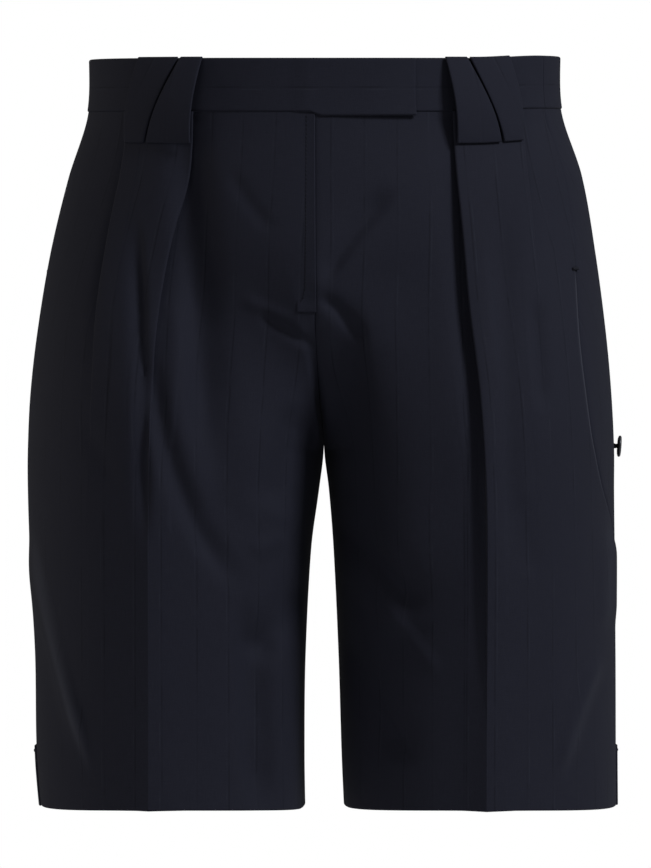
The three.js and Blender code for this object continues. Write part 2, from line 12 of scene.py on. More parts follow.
# %% Load the frame
import json

import bpy
import numpy as np
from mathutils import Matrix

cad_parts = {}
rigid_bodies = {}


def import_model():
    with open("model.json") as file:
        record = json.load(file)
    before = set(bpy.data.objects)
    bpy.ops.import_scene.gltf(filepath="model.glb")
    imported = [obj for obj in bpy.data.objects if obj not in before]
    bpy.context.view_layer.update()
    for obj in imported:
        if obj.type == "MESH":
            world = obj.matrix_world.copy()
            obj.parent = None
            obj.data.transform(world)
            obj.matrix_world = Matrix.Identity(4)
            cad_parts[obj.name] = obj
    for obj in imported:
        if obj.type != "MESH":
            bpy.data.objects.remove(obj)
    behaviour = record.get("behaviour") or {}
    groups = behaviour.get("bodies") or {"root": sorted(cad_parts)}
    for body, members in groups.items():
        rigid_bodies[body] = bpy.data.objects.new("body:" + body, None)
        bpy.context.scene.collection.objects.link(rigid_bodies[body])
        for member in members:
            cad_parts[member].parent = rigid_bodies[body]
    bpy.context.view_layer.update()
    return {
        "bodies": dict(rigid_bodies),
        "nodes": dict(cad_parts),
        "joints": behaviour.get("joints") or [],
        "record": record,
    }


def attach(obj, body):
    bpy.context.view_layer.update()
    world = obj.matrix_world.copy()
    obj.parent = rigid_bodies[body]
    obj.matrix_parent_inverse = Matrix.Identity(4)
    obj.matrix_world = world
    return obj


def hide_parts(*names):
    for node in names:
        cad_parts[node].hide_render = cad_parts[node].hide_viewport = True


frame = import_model()
MM = 0.001

# %% [markdown]
# ## The camera
#
# The picture looks straight at the front from about three metres, which makes near things only a few per
# cent larger. One row of pixels is 0.65 mm of cloth at the side seams. A lens is found from the width of
# cloth that the picture spans, so the framing follows from real sizes and not from trial.

# %% Camera
PIXEL = 0.65
PICTURE_WIDTH = 651
DISTANCE = 3000
CAMERA_X = 1
CAMERA_Z = -226

scene = bpy.context.scene
scene.view_settings.view_transform = "Standard"
lens = bpy.data.cameras.new("camera")
lens.sensor_fit = "HORIZONTAL"
lens.lens = lens.sensor_width * DISTANCE / (PIXEL * PICTURE_WIDTH)
camera = bpy.data.objects.new("camera", lens)
camera.location = (CAMERA_X * MM, -DISTANCE * MM, CAMERA_Z * MM)
camera.rotation_euler = (np.pi / 2, 0, 0)
scene.collection.objects.link(camera)
scene.camera = camera
print("focal length", round(lens.lens), "mm")

# %% [markdown]
# ## The sizes of the body of the garment
#
# One row of this table is one level, from above the waistband down to below the hem. `out` is how far the
# side is from the middle, `in` how far the inner leg is, and `front` and `back` are the depths. `seam`
# says where the side seam lies: 0 is the side and 1 the centre front. The garment hangs turned a little,
# so the left side seam shows from the front and the right one doesn't.

# %% Sections
SECTION_COLUMNS = [
    "z", "out_right", "out_left", "in_right", "in_left", "front", "back", "seam_right", "seam_left",
]
SECTION_ROWS = [
    (30, 152, 153, 0.15, 0.15, 103, 104, -0.05, 0.26),
    (-17, 153, 154, 0.15, 0.15, 104, 107, -0.05, 0.26),
    (-60, 166, 167.5, 0.15, 0.15, 110, 120, -0.06, 0.26),
    (-110, 178, 176.5, 0.15, 0.15, 115, 131, -0.06, 0.25),
    (-160, 186.4, 183.3, 0.15, 0.15, 117, 137, -0.06, 0.24),
    (-200, 191, 187, 0.15, 0.15, 117, 134, -0.06, 0.215),
    (-236, 192.7, 188.8, 0.15, 0.15, 115, 126, -0.05, 0.186),
    (-262, 192.7, 188.8, 3.4, 3.2, 113, 120, -0.05, 0.145),
    (-300, 191.5, 189.2, 8.6, 6.2, 110, 114, -0.03, 0.04),
    (-370, 188, 189.8, 12.2, 9.5, 104, 106, 0, -0.02),
    (-430, 187, 190, 12.7, 11.4, 100, 101, 0, -0.02),
    (-470, 183.6, 190.3, 12, 13.3, 98, 99, 0, -0.02),
]
CENTRE_ROWS = [(30, -6.5), (-150, -5.5), (-200, -3), (-236, 0), (-470, 0)]


def table(columns, rows):
    """A table whose columns have names, sorted upwards by z."""
    return np.sort(np.array(rows, dtype=[(name, float) for name in columns]), order="z")


def smooth(t):
    """0 below 0, 1 above 1, and 3 t squared less 2 t cubed between them."""
    t = np.clip(t, 0, 1)
    return t * t * (3 - 2 * t)


def mix(a, b, t):
    """a where t is 0 and b where t is 1."""
    return a + (b - a) * t


def column(rows, name, z):
    """A column of a table at heights z: cubic pieces whose slope at a row is that of the line through its
    two neighbours, so the surface has no kink at a row."""
    height, value = rows["z"], rows[name]
    at = np.arange(len(rows))
    before, after = np.maximum(at - 1, 0), np.minimum(at + 1, len(rows) - 1)
    slope = (value[after] - value[before]) / (height[after] - height[before])
    i = np.clip(np.searchsorted(height, z) - 1, 0, len(rows) - 2)
    span = height[i + 1] - height[i]
    t = np.clip((z - height[i]) / span, 0, 1)
    ends = (1 + 2 * t) * (1 - t) ** 2 * value[i] + t * t * (3 - 2 * t) * value[i + 1]
    return ends + span * (t * (1 - t) ** 2 * slope[i] - t * t * (1 - t) * slope[i + 1])


SECTIONS = table(SECTION_COLUMNS, SECTION_ROWS)
CENTRE_FRONT = table(["z", "x"], CENTRE_ROWS)
print("half width at the hip", column(SECTIONS, "out_right", np.array([-220.0])).round(1))

# %% [markdown]
# ## One formula for the whole body
#
# A point of the body is found from two numbers: `tau` runs round a leg's half of the section, from 0 at
# the side to 1 at the centre front or -1 at the centre back, and `z` is the height. High up, both halves
# make one oval. Low down, each half closes round its own leg. Between them the formula blends the two,
# and the centre seam runs down, then turns back under to the crotch on a quarter circle, as a trouser's
# fork does.
#
# Everything else is placed on this surface: a band, a loop or a stitch is a point of it, moved out by
# some amount. That keeps every piece seated on the one below it from any side.

# %% The body's surface
BAND_TOP = 17
BAND_SEAM = -17
CROTCH = -236
HEM = -463
LEGS_BEGIN = -60
LEG_MIDDLE_Y = 8
SEAM_TURN = {"front": -95, "back": -105}
SEAM_POWER = 0.5
LEG_POWER = 1.5
INNER_POWER = {"right": 0.6, "left": 0.85}
FORK_FROM = 0.6
CENTRE_FROM = 0.45
INNER_FROM = 0.5
FRONT_DIP = 5.5
DIP_CURVE = -1.5
WAIST_DEPTH = 105
HEM_ARCH = 4.4
LEFT_RISE = 2
SIDES = {"right": -1, "left": 1}


def figure(side, tau, z):
    """Points of the body. x and y blend from an oval, cos and sin of a quarter turn, to a leg's loop, cos
    and sin of a half turn. Near the centre seam the blend is one less a power of a quarter circle in side
    view. On the inner leg in front the loop's sine is raised to a power under 1, which makes that side
    squarer."""
    tau, z = np.broadcast_arrays(np.asarray(tau, float), np.asarray(z, float))
    t, back = np.abs(tau), tau < 0
    out, inner = column(SECTIONS, "out_" + side, z), column(SECTIONS, "in_" + side, z)
    depth = np.where(back, column(SECTIONS, "back", z), -column(SECTIONS, "front", z))
    legs = smooth((LEGS_BEGIN - z) / (LEGS_BEGIN - CROTCH))
    start = np.where(back, SEAM_TURN["back"], SEAM_TURN["front"])
    fork_power = mix(LEG_POWER, SEAM_POWER, smooth((t - FORK_FROM) / (1 - FORK_FROM)))
    turned = 1 - (1 - np.clip((start - z) / (start - CROTCH), 0, 1) ** 2) ** fork_power
    centre = smooth((t - CENTRE_FROM) / (1 - CENTRE_FROM))
    share = mix(legs, turned, centre)
    x = mix(out * np.cos(t * np.pi / 2), (out + inner) / 2 + (out - inner) / 2 * np.cos(t * np.pi), legs)
    on_inner = smooth((t - INNER_FROM) / 0.3) * smooth((1 - t) / 0.08)
    loop_power = np.where(back, 1, mix(1, INNER_POWER[side], on_inner))
    loop = LEG_MIDDLE_Y + (depth - LEG_MIDDLE_Y) * np.sin(np.clip(t, 0, 1) * np.pi) ** loop_power
    y = mix(depth * np.sin(t * np.pi / 2), loop, share)
    shift = np.where(back, 0, column(CENTRE_FRONT, "x", z) * centre)
    return np.stack([SIDES[side] * x + shift, y, z], axis=-1)


def unit_vectors(v):
    """The vectors at length 1."""
    return v / np.maximum(np.linalg.norm(v, axis=-1, keepdims=True), 1e-12)


def outward(side, tau, z):
    """The direction out of the body: the cross product of a small step up and a small step round."""
    tau, z = np.broadcast_arrays(np.asarray(tau, float), np.asarray(z, float))
    around = figure(side, tau + 1e-3, z) - figure(side, tau - 1e-3, z)
    up = figure(side, tau, z + 0.5) - figure(side, tau, z - 0.5)
    return unit_vectors(SIDES[side] * np.cross(up, around))


def tilted(points):
    """The waist dips in front and rises at the back, the left of it sits a little higher, and each leg's
    hem hangs lower at its sides. All are small shifts of z that fade out away from the edge."""
    x, y, z = points[..., 0], points[..., 1], points[..., 2]
    deep = y / WAIST_DEPTH
    near_waist = smooth((z + 170) / 120)
    near_hem = smooth((HEM + 60 - z) / 60)
    across = (y - LEG_MIDDLE_Y) / WAIST_DEPTH
    lift = near_waist * (FRONT_DIP * deep + DIP_CURVE * deep**2 + LEFT_RISE * smooth((x - 95) / 45))
    drop = near_hem * HEM_ARCH * np.maximum(0, 1 - across**2)
    return np.stack([x, y, z + lift - drop], axis=-1)


def place(side, tau, z, n, gap=0.15, push=0):
    """A point n outside the body, and pushed forwards. It stays on its own side of the centre seam by the
    gap."""
    tau, z, n = np.broadcast_arrays(np.asarray(tau, float), np.asarray(z, float), np.asarray(n, float))
    points = figure(side, tau, z) + outward(side, tau, z) * n[..., None]
    centre = np.where(tau < 0, 0, column(CENTRE_FRONT, "x", z))
    sign = SIDES[side]
    points[..., 0] = centre + sign * np.maximum(sign * (points[..., 0] - centre), gap)
    points[..., 1] -= push
    return tilted(points)


def girth(side, z, sign):
    """Length round one unit of tau at heights z, summed along short chords."""
    ring = figure(side, sign * np.linspace(0, 1, 25)[None, :], z)
    return np.linalg.norm(np.diff(ring, axis=1), axis=-1).sum(axis=1)[:, None]


def arc(side, tau, z):
    """Length of cloth along the section from the side to tau, read from a table of short chords."""
    ring_tau = np.linspace(-1, 1, 161)[None, :]
    chords = np.linalg.norm(np.diff(figure(side, ring_tau, z), axis=1), axis=-1)
    gone = np.concatenate([0 * z, np.cumsum(chords, axis=1)], axis=1)
    at = np.clip((tau + 1) * 80, 0, 159.999)
    low = at.astype(int)
    rows = np.arange(len(z))[:, None]
    return mix(gone[rows, low], gone[rows, low + 1], at - low)


def tau_at(side, x, z, sign=1):
    """The tau where the surface is x from the middle plane, found by halving."""
    low, high = np.zeros(np.broadcast(x, z).shape), np.ones(np.broadcast(x, z).shape)
    for _ in range(30):
        middle = (low + high) / 2
        beyond = SIDES[side] * figure(side, sign * middle, z)[..., 0] > x
        low, high = np.where(beyond, middle, low), np.where(beyond, high, middle)
    return sign * (low + high) / 2


levels = np.array([[-20.0], [-150.0], [-300.0], [-460.0]])
print("girth of the right front at four levels", girth("right", levels, 1).round().ravel())

# %% [markdown]
# ## Pleats
#
# A pleat is a Z of cloth: it comes along on top, turns back under itself, and turns again. In the section
# of the body that is a line of three straight runs. Each front has two, and they face away from each
# other, so a raised strip lies between them under the belt loops. Lower down the pleats let go, and the
# inner one becomes the pressed crease.
#
# A corner is rounded by a formula and not by a bevel: a ramp that is zero before the corner and rises
# after it is bent softly. Adding such ramps to a straight line turns it, and gives a round fold at any
# depth.

# %% Pleats
PLEAT_COLUMNS = ["z", "main_edge", "outer_edge", "main_under", "outer_under", "main_proud", "outer_proud",
                 "main_sink", "outer_sink"]
PLEATS = {
    "right": table(PLEAT_COLUMNS, [
        (0, 81, 123.5, 10, 8, 2.5, 2.5, 1.5, 0.5),
        (-45, 84, 126, 9.5, 7, 2.6, 3, 1.2, 1),
        (-95, 94.5, 135, 5.6, 4.5, 3, 3.6, 4, 2),
        (-145, 103, 142.2, 2.6, 1.5, 3.2, 3.4, 2.2, 1.8),
        (-190, 107.5, 145.5, 0.8, -4, 2.6, 1.2, 1.5, 0.5),
        (-240, 109.3, 148, -3, -5, 0.8, 0, 0.6, 0),
        (-300, 109.6, 149, -5, -5, 0.2, 0, 0, 0),
        (-480, 109.8, 149, -5, -5, 0, 0, 0, 0),
    ]),
    "left": table(PLEAT_COLUMNS, [
        (0, 80, 124, 11, 7, 2.5, 2.5, 1.5, 1),
        (-45, 82, 127, 10, 5.5, 2.7, 2.3, 1.5, 1),
        (-95, 86.5, 132.5, 7.8, 1.5, 3.3, 1.6, 4, 0.3),
        (-145, 91, 136.5, 5.5, -4, 3.8, 0, 5, 0),
        (-200, 97.5, 140, 2.4, -5, 3.6, 0, 6, 0),
        (-260, 101, 143, 0.6, -5, 3.2, 0, 6.5, 0),
        (-310, 101.9, 144, -4, -5, 1.2, 0, 5.5, 0),
        (-345, 102, 144, -5, -5, 0.4, 0, 4, 0),
        (-385, 102, 144, -5, -5, 0, 0, 1, 0),
        (-410, 102, 144, -5, -5, 0, 0, 0, 0),
        (-480, 102, 144, -5, -5, 0, 0, 0, 0),
    ]),
}
SINK_REACH = {"main": 10, "outer": 5}
FOLD_BEFORE = 13
FOLD_BEYOND = 15
FOLD_ROUND = 0.35
LEAST_RUN = 2


def ramp(x, width):
    """Zero before 0 and x after it, with a round corner: half of x plus the root of x squared plus width
    squared."""
    return (x + np.sqrt(x * x + width * width)) / 2


def soft_step(x, width):
    """0 before 0 and 1 after it: the slope of the ramp."""
    return 0.5 + 0.5 * x / np.sqrt(x * x + width * width)


def hollow(s, sink, reach):
    """How far the cloth sinks beside a pleat, s away from its edge: a bell curve."""
    return sink * np.exp(-((s / reach) ** 2))


def pleat(under, proud, sink, reach, wall):
    """One pleat's columns for every row: s along the body from the fold's edge, n out of it, both for the
    outer and the inner face, and the length of cloth from the edge. The line is straight with two soft
    turns, and comes out of the second one in a hollow. Half a wall along its normal gives each face."""
    run = np.sqrt(under**2 + LEAST_RUN**2)
    back = -under / run
    first, second = FOLD_BEFORE + 0 * run, FOLD_BEFORE + run
    end = FOLD_BEFORE + FOLD_BEYOND + run + under
    turn = np.minimum(0.4 * run, 2)
    arc = np.linspace(-1, 1, 11)[None, :]
    cloth = np.concatenate([
        (first - turn) * np.linspace(0, 1, 6)[None, :-1],
        first + turn * arc[:, :-1],
        mix(first + turn, second - turn, np.linspace(0, 1, 4)[None, :-1]),
        second + turn * arc[:, :-1],
        mix(second + turn, end, np.linspace(0, 1, 7)[None, :]),
    ], axis=1)
    bend = ramp(cloth - first, FOLD_ROUND) - ramp(cloth - second, FOLD_ROUND)
    s = cloth - FOLD_BEFORE + (back - 1) * bend
    soft = FOLD_ROUND + 3 * smooth(1 - under / 5)
    turns = 0.3 * (soft_step(cloth - first, soft) + soft_step(cloth - second, soft))
    behind = np.clip(bend / run, 0, 1)
    sunk = smooth(behind) * hollow(np.maximum(s, 0), sink, reach)
    n = proud * (1 - turns - 0.4 * behind) - sunk - wall / 2
    ds, dn = np.gradient(s, axis=1), np.gradient(n, axis=1)
    length = np.maximum(np.hypot(ds, dn), 1e-9)
    side_s, side_n = -dn / length * wall / 2, ds / length * wall / 2
    return {
        "out": (s + side_s, n + side_n), "in": (s - side_s, n - side_n),
        "cloth": cloth - FOLD_BEFORE, "taken": run + under,
    }


trial = pleat(np.array([[10.0]]), np.array([[2.5]]), 3, 10, 1.0)
print("a pleat 10 deep takes", trial["taken"].round(1).ravel(), "mm of cloth")

# %% [markdown]
# ## Drape folds and creases
#
# Wool that hangs from a waist has few folds, and they start somewhere and die out. Each row of the tables
# is one fold, seen from the front or from behind: from where to where it runs, how far its middle bows
# aside, its widths on either side of its line, and its height, which is negative for a trough. A fold
# with one narrow side has a crisp edge there. A simulation could drape the cloth too, but then the folds
# would land where they like. Here they're placed where the picture shows them, in uneven sizes.

# %% Folds
FOLD_COLUMNS = ["from_x", "from_z", "to_x", "to_z", "bow", "left", "right", "height"]


def table_of_folds(rows):
    """Folds as an array whose columns have names. Left and right are as seen while the line runs down."""
    return np.array(rows, dtype=[(name, float) for name in FOLD_COLUMNS])


FRONT_FOLDS = table_of_folds([
    (-109, -160, -49, -330, 16, 6, 9, -6),
    (-88, -14, -73, -262, 0, 10, 14, -8),
    (-72, -165, -60, -305, 0, 12, 16, -4),
    (-12, -206, -34, -278, 0, 13, 15, -5),
    (-9, -318, -46, -372, 0, 10, 11, -5.5),
    (-48, -325, -38, -475, 3, 7, 13, -7.5),
    (-20, -325, -20, -475, 0, 14, 8, 6),
    (46, -64, -2, -134, 4, 9, 5, -3.8),
    (-4, -136, 26, -170, -2, 4.5, 5, -3.5),
    (-5, -148, -2, -330, 0, 12, 22, -7.5),
    (26, -120, 56, -345, 2, 13, 30, 7.5),
    (3, -280, 62, -342, -3, 6, 11, -6.5),
    (8, -304, 58, -354, 2, 8, 9, 4),
    (8, -340, 56, -440, 3, 10, 9, -6.5),
])
BACK_FOLDS = table_of_folds([
    (-12, -214, -92, -262, 8, 13, 13, -6),
    (12, -218, 98, -258, -8, 13, 13, -6),
    (-30, -300, -84, -392, 8, 13, 13, -5),
    (30, -292, 78, -398, -9, 13, 13, -5),
])
CREASE = {
    "right": {"height": 4.2, "reach": (34, 34), "power": (2, 2)},
    "left": {"height": 6.5, "reach": (46, 38), "power": (2, 3)},
    "back": {"height": 4.2, "reach": (34, 34), "power": (2, 2)},
}
BACK_CREASE_X = 104


def drape(folds, x, z):
    """The sum of the folds at points of the front or back view. Across a fold its height falls off as a
    bell curve, and along it the height fades in and out over a quarter of its length."""
    total = np.zeros(np.broadcast(x, z).shape)
    for fold in folds:
        dx, dz = fold["to_x"] - fold["from_x"], fold["to_z"] - fold["from_z"]
        length = np.hypot(dx, dz)
        from_x, from_z = x - fold["from_x"], z - fold["from_z"]
        along = (from_x * dx + from_z * dz) / length**2
        across = (from_x * dz - from_z * dx) / length - fold["bow"] * 4 * along * (1 - along)
        width = np.where(across > 0, fold["left"], fold["right"])
        taper = smooth(along / 0.25) * smooth((1 - along) / 0.25)
        total = total + fold["height"] * taper * np.exp(-((across / width) ** 2))
    return total


def crease(s, shape):
    """A pressed crease: a ridge with a sharp top that falls off as a power of what is left of its reach.
    The two sides, before and beyond its line, have their own reach and power."""
    reach = np.where(s < 0, *shape["reach"])
    power = np.where(s < 0, *shape["power"])
    return shape["height"] * np.clip(1 - np.abs(s) / reach, 0, 1) ** power


print(len(FRONT_FOLDS), "folds in front and", len(BACK_FOLDS), "behind")

# %% [markdown]
# ## Turning grids into cloth
#
# A panel is two grids of points, the face of the cloth and its back, joined round the rim. Whole arrays
# go into the mesh in one call. The panel also gets a UV map in metres of cloth: u runs across the cloth
# as it was cut and v down it. The stripe and the weave follow that map, so they bend with the pleats as
# real yarns do.

# %% Mesh helpers
SHARP_ANGLE = 50


def grid_faces(rows, columns, first=0):
    """The quads of a grid of points that are numbered row by row."""
    at = first + np.arange(rows * columns).reshape(rows, columns)
    return np.stack([at[:-1, :-1], at[1:, :-1], at[1:, 1:], at[:-1, 1:]], axis=-1).reshape(-1, 4)


def rim_faces(border, offset):
    """Quads from each edge of a closed border to the same edge of the other layer."""
    following = np.roll(border, -1)
    return np.stack([border, following, following + offset, border + offset], axis=-1)


def tube_faces(at):
    """The quads of a tube from the numbers of its rings' points, one row for each ring."""
    beside = np.roll(at, -1, 1)
    return np.stack([at[:-1], at[1:], beside[1:], beside[:-1]], axis=-1).reshape(-1, 4)


def new_mesh(name, points, faces, material, uv=None, highlight_paint=None):
    """A mesh object from points in millimetres and quads. Faces are turned round if the closed form's
    volume, the sum of the corner products, comes out negative."""
    points, faces = np.asarray(points, float).reshape(-1, 3), np.asarray(faces)
    corner = points[faces]
    middle = corner.mean(axis=1)
    area = np.cross(corner[:, 2] - corner[:, 0], corner[:, 3] - corner[:, 1])
    if (middle * area).sum() < 0:
        faces = faces[:, ::-1]
    mesh = bpy.data.meshes.new(name)
    mesh.vertices.add(len(points))
    mesh.vertices.foreach_set("co", (points * MM).ravel())
    mesh.loops.add(faces.size)
    mesh.loops.foreach_set("vertex_index", faces.ravel())
    mesh.polygons.add(len(faces))
    mesh.polygons.foreach_set("loop_start", np.arange(0, faces.size, faces.shape[1]))
    mesh.polygons.foreach_set("loop_total", np.full(len(faces), faces.shape[1]))
    mesh.update(calc_edges=True)
    mesh.polygons.foreach_set("use_smooth", np.ones(len(faces), bool))
    if uv is not None:
        layer = mesh.uv_layers.new(name="cloth")
        layer.data.foreach_set("uv", (np.asarray(uv, float).reshape(-1, 2)[faces.ravel()] * MM).ravel())
    # A second UV map holds where highlight is painted onto the cloth's colour.
    if highlight_paint is not None:
        layer = mesh.uv_layers.new(name="highlight_paint")
        both = np.stack([highlight_paint.ravel(), 0 * highlight_paint.ravel()], axis=-1)
        layer.data.foreach_set("uv", both[faces.ravel() % len(both)].ravel())
    mesh.set_sharp_from_angle(angle=np.radians(SHARP_ANGLE))
    mesh.materials.append(material)
    piece = bpy.data.objects.new(name, mesh)
    scene.collection.objects.link(piece)
    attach(piece, "root")
    return piece


def wall_piece(name, out, inner, uv, material, highlight_paint=None):
    """A closed wall from two grids of the same shape, joined round the rim."""
    rows, columns = out.shape[:2]
    count = rows * columns
    at = np.arange(count).reshape(rows, columns)
    border = np.concatenate([at[0, :-1], at[:-1, -1], at[-1, :0:-1], at[:0:-1, 0]])
    faces = np.concatenate([
        grid_faces(rows, columns),
        grid_faces(rows, columns, count)[:, ::-1],
        rim_faces(border, count),
    ])
    points = np.concatenate([out.reshape(-1, 3), inner.reshape(-1, 3)])
    both = np.concatenate([uv.reshape(-1, 2)] * 2)
    piece = new_mesh(name, points, faces, material, both, highlight_paint)
    return piece


def tube_piece(name, rings, material):
    """A closed tube from rings of points, with a small cap of quads folded over each end."""
    count, around = rings.shape[:2]
    side = tube_faces(np.arange(count * around).reshape(count, around))
    half = around // 2
    k = np.arange(half - 1)
    cap = np.stack([k, k + 1, around - 2 - k, around - 1 - k], axis=-1)
    faces = np.concatenate([side, cap, cap[:, ::-1] + (count - 1) * around])
    piece = new_mesh(name, rings, faces, material)
    return piece


print("mesh helpers are ready")

# %% [markdown]
# ## Materials
#
# The cloth is a navy wool suiting, a fine twill with a stripe so quiet that it reads as a scratch of
# light thread with a darker one beside it. Wool scatters light, so the base is nearly black, the
# roughness is high, and a little sheen lifts the edges. The pattern is worked out with ordinary
# arithmetic on shader sockets.

# %% Shader expressions
class Shade:
    """A shader socket. Arithmetic on it adds Math nodes to its material."""

    def __init__(self, tree, socket=None):
        self.tree = tree
        self.socket = socket

    def node(self, kind, settings, sockets, output=0):
        """A new node: its settings first, then the values or links of its sockets."""
        made = self.tree.nodes.new("ShaderNode" + kind)
        for name, value in settings.items():
            setattr(made, name, value)
        for name, value in sockets.items():
            if isinstance(value, Shade):
                self.tree.links.new(value.socket, made.inputs[name])
            else:
                made.inputs[name].default_value = value
        return Shade(self.tree, made.outputs[output])

    def math(self, operation, *values):
        return self.node("Math", {"operation": operation}, dict(enumerate(values)))

    def __add__(self, other):
        return self.math("ADD", self, other)

    def __sub__(self, other):
        return self.math("SUBTRACT", self, other)

    def __rsub__(self, other):
        return self.math("SUBTRACT", other, self)

    def __mul__(self, other):
        return self.math("MULTIPLY", self, other)

    __radd__ = __add__
    __rmul__ = __mul__

    def ramp(self, low, high):
        """0 at low and 1 at high, smooth between them."""
        sockets = {"Value": self, "From Min": low, "From Max": high}
        return self.node("MapRange", {"interpolation_type": "SMOOTHSTEP"}, sockets)

    def over(self, base, colour):
        """A colour laid over a base, where this value is the share of the colour."""
        return self.node("Mix", {"data_type": "RGBA"}, {"Factor": self, 6: base, 7: (*colour, 1)}, 2)

    def blend(self, dark, light):
        """A colour between two, where this value is the share of the second."""
        return self.over((*dark, 1), light)


def new_material(name, roughness, gloss=0.5, sheen=0.0, sheen_roughness=0.5):
    """A material, its tree to build in, and its main shader."""
    material = bpy.data.materials.new(name)
    material.use_nodes = True
    shader = material.node_tree.nodes["Principled BSDF"]
    shader.inputs["Roughness"].default_value = roughness
    shader.inputs["Specular IOR Level"].default_value = gloss
    shader.inputs["Sheen Weight"].default_value = sheen
    shader.inputs["Sheen Roughness"].default_value = sheen_roughness
    return material, Shade(material.node_tree), shader


def feed(tree, shader, name, value):
    """Links a value to one socket of the main shader."""
    tree.tree.links.new(value.socket, shader.inputs[name])


def bump(tree, height, strength, distance):
    """A normal from a height, where distance is the height's full size in metres."""
    return tree.node("Bump", {}, {"Height": height, "Strength": strength, "Distance": distance})


print("shader expressions are ready")

# %% [markdown]
# ## The suiting
#
# Four things at four scales make the cloth: the twill's diagonal ribs at 0.7 mm, single uneven yarns that
# run along and across, a slow cloudiness of a few centimetres, and the stripe every 21 mm. The stripe's
# thread dips under the weave here and there, so its mask is broken up along its length.

# %% Suiting
STRIPE_PITCH = 21
STRIPE_SHADOW = 1.5
TWILL_PITCH = 0.72
NAVY = (0.0132, 0.0139, 0.0230)
NAVY_PALE = (0.0210, 0.0217, 0.0330)
STRIPE_LIGHT = (0.0235, 0.025, 0.0365)
STRIPE_DARK = (0.0095, 0.010, 0.0165)
# A pale colour painted on as highlight along side seams and fold ridges.
PAINTED_HIGHLIGHT = (0.075, 0.078, 0.098)
RIB_HEIGHT = 0.00022


def suiting(name):
    """Cloth whose pattern follows the cloth map: u and v in millimetres drive ribs, yarns, clouds and
    stripe."""
    material, tree, shader = new_material(name, 0.82, 0.14, 0.02, 0.4)
    place_on_cloth = tree.node("UVMap", {"uv_map": "cloth"}, {})
    u = tree.node("SeparateXYZ", {}, {0: place_on_cloth}, 0) * 1000
    v = tree.node("SeparateXYZ", {}, {0: place_on_cloth}, 1) * 1000

    def noise(across, along, detail):
        """Noise with its own size across and along the cloth, from 0 to 1."""
        at = tree.node("CombineXYZ", {}, {0: u * (1 / across), 1: v * (1 / along)})
        return tree.node("TexNoise", {}, {"Vector": at, "Scale": 1.0, "Detail": detail, "Roughness": 0.6})

    warp, weft = noise(0.55, 9, 1), noise(9, 0.55, 1)
    speck, cloud = noise(0.9, 0.9, 2), noise(38, 55, 2)
    rib = (u + v * 0.55).math("PINGPONG", u + v * 0.55, TWILL_PITCH / 2) * (2 / TWILL_PITCH)
    from_stripe = u.math("PINGPONG", u, STRIPE_PITCH / 2)
    from_shadow = u.math("PINGPONG", u - STRIPE_SHADOW, STRIPE_PITCH / 2)
    light_shows, dark_shows = noise(14, 26, 3).ramp(0.47, 0.6), noise(17, 31, 3).ramp(0.42, 0.58)
    light = (1 - from_stripe.ramp(0.15, 0.6)) * (0.1 + 0.6 * light_shows)
    dark = (1 - from_shadow.ramp(0.15, 0.7)) * (0.15 + 0.6 * dark_shows)
    mottle = (warp * 0.34 + weft * 0.3 + speck * 0.36).ramp(0.3, 0.72)
    base = (mottle * 0.75 + cloud * 0.25).blend(NAVY, NAVY_PALE)
    striped = light.over(dark.over(base, STRIPE_DARK), STRIPE_LIGHT)
    # A second UV map says where highlight is painted: there the colour goes half way to the pale highlight
    # colour.
    highlight_paint = tree.node("SeparateXYZ", {}, {0: tree.node("UVMap", {"uv_map": "highlight_paint"}, {})}, 0)
    feed(tree, shader, "Base Color", (highlight_paint * 0.5).over(striped, PAINTED_HIGHLIGHT))
    feed(tree, shader, "Roughness", 0.76 + mottle * 0.12)
    height = rib * 0.45 + warp * 0.3 + weft * 0.25
    feed(tree, shader, "Normal", bump(tree, height, 0.55, RIB_HEIGHT))
    return material


SUITING = suiting("suiting")
print("suiting has", len(SUITING.node_tree.nodes), "nodes")

# %% [markdown]
# ## Thread, horn and floor
#
# Sewing thread is a hard twist, shinier than the wool. Its ply runs round it, so a wave on object
# coordinates stands for it. The button is dark horn with faint grain, polished by hand on its rim.

# %% Small materials
THREAD_COLOURS = (0.006, 0.0065, 0.011), (0.013, 0.014, 0.022)
HORN_COLOURS = (0.022, 0.022, 0.025), (0.085, 0.083, 0.088)
BOARD_COLOURS = (0.80, 0.80, 0.80), (0.84, 0.84, 0.84)


def thread(name):
    """Dark twisted polyester: a fine band pattern for the ply and little variation of colour."""
    material, tree, shader = new_material(name, 0.65, 0.2)
    at = tree.node("TexCoord", {}, {}, "Object")
    ply = tree.node("TexWave", {"bands_direction": "DIAGONAL"}, {"Vector": at, "Scale": 900.0})
    feed(tree, shader, "Base Color", ply.blend(*THREAD_COLOURS))
    feed(tree, shader, "Normal", bump(tree, ply, 0.4, 0.0001))
    return material


def horn(name):
    """Dark buffalo horn: noise stretched along x gives the grain, and a finer one the polish."""
    material, tree, shader = new_material(name, 0.3)
    at = tree.node("TexCoord", {}, {}, "Object")
    grain = tree.node("Mapping", {}, {"Vector": at, "Scale": (900, 160, 160)})
    streak = tree.node("TexNoise", {}, {"Vector": grain, "Scale": 1.0, "Detail": 4.0, "Distortion": 0.6})
    scuff = tree.node("TexNoise", {}, {"Vector": at, "Scale": 1400.0, "Detail": 2.0})
    feed(tree, shader, "Base Color", streak.ramp(0.35, 0.7).blend(*HORN_COLOURS))
    feed(tree, shader, "Roughness", 0.24 + scuff * 0.2)
    return material


def floor_paint(name):
    """Matt white board with the faintest mottle."""
    material, tree, shader = new_material(name, 0.85)
    at = tree.node("TexCoord", {}, {}, "Object")
    mottle = tree.node("TexNoise", {}, {"Vector": at, "Scale": 6.0, "Detail": 3.0})
    feed(tree, shader, "Base Color", mottle.blend(*BOARD_COLOURS))
    return material


THREAD = thread("thread")
HORN = horn("horn")
print("thread and horn are ready")

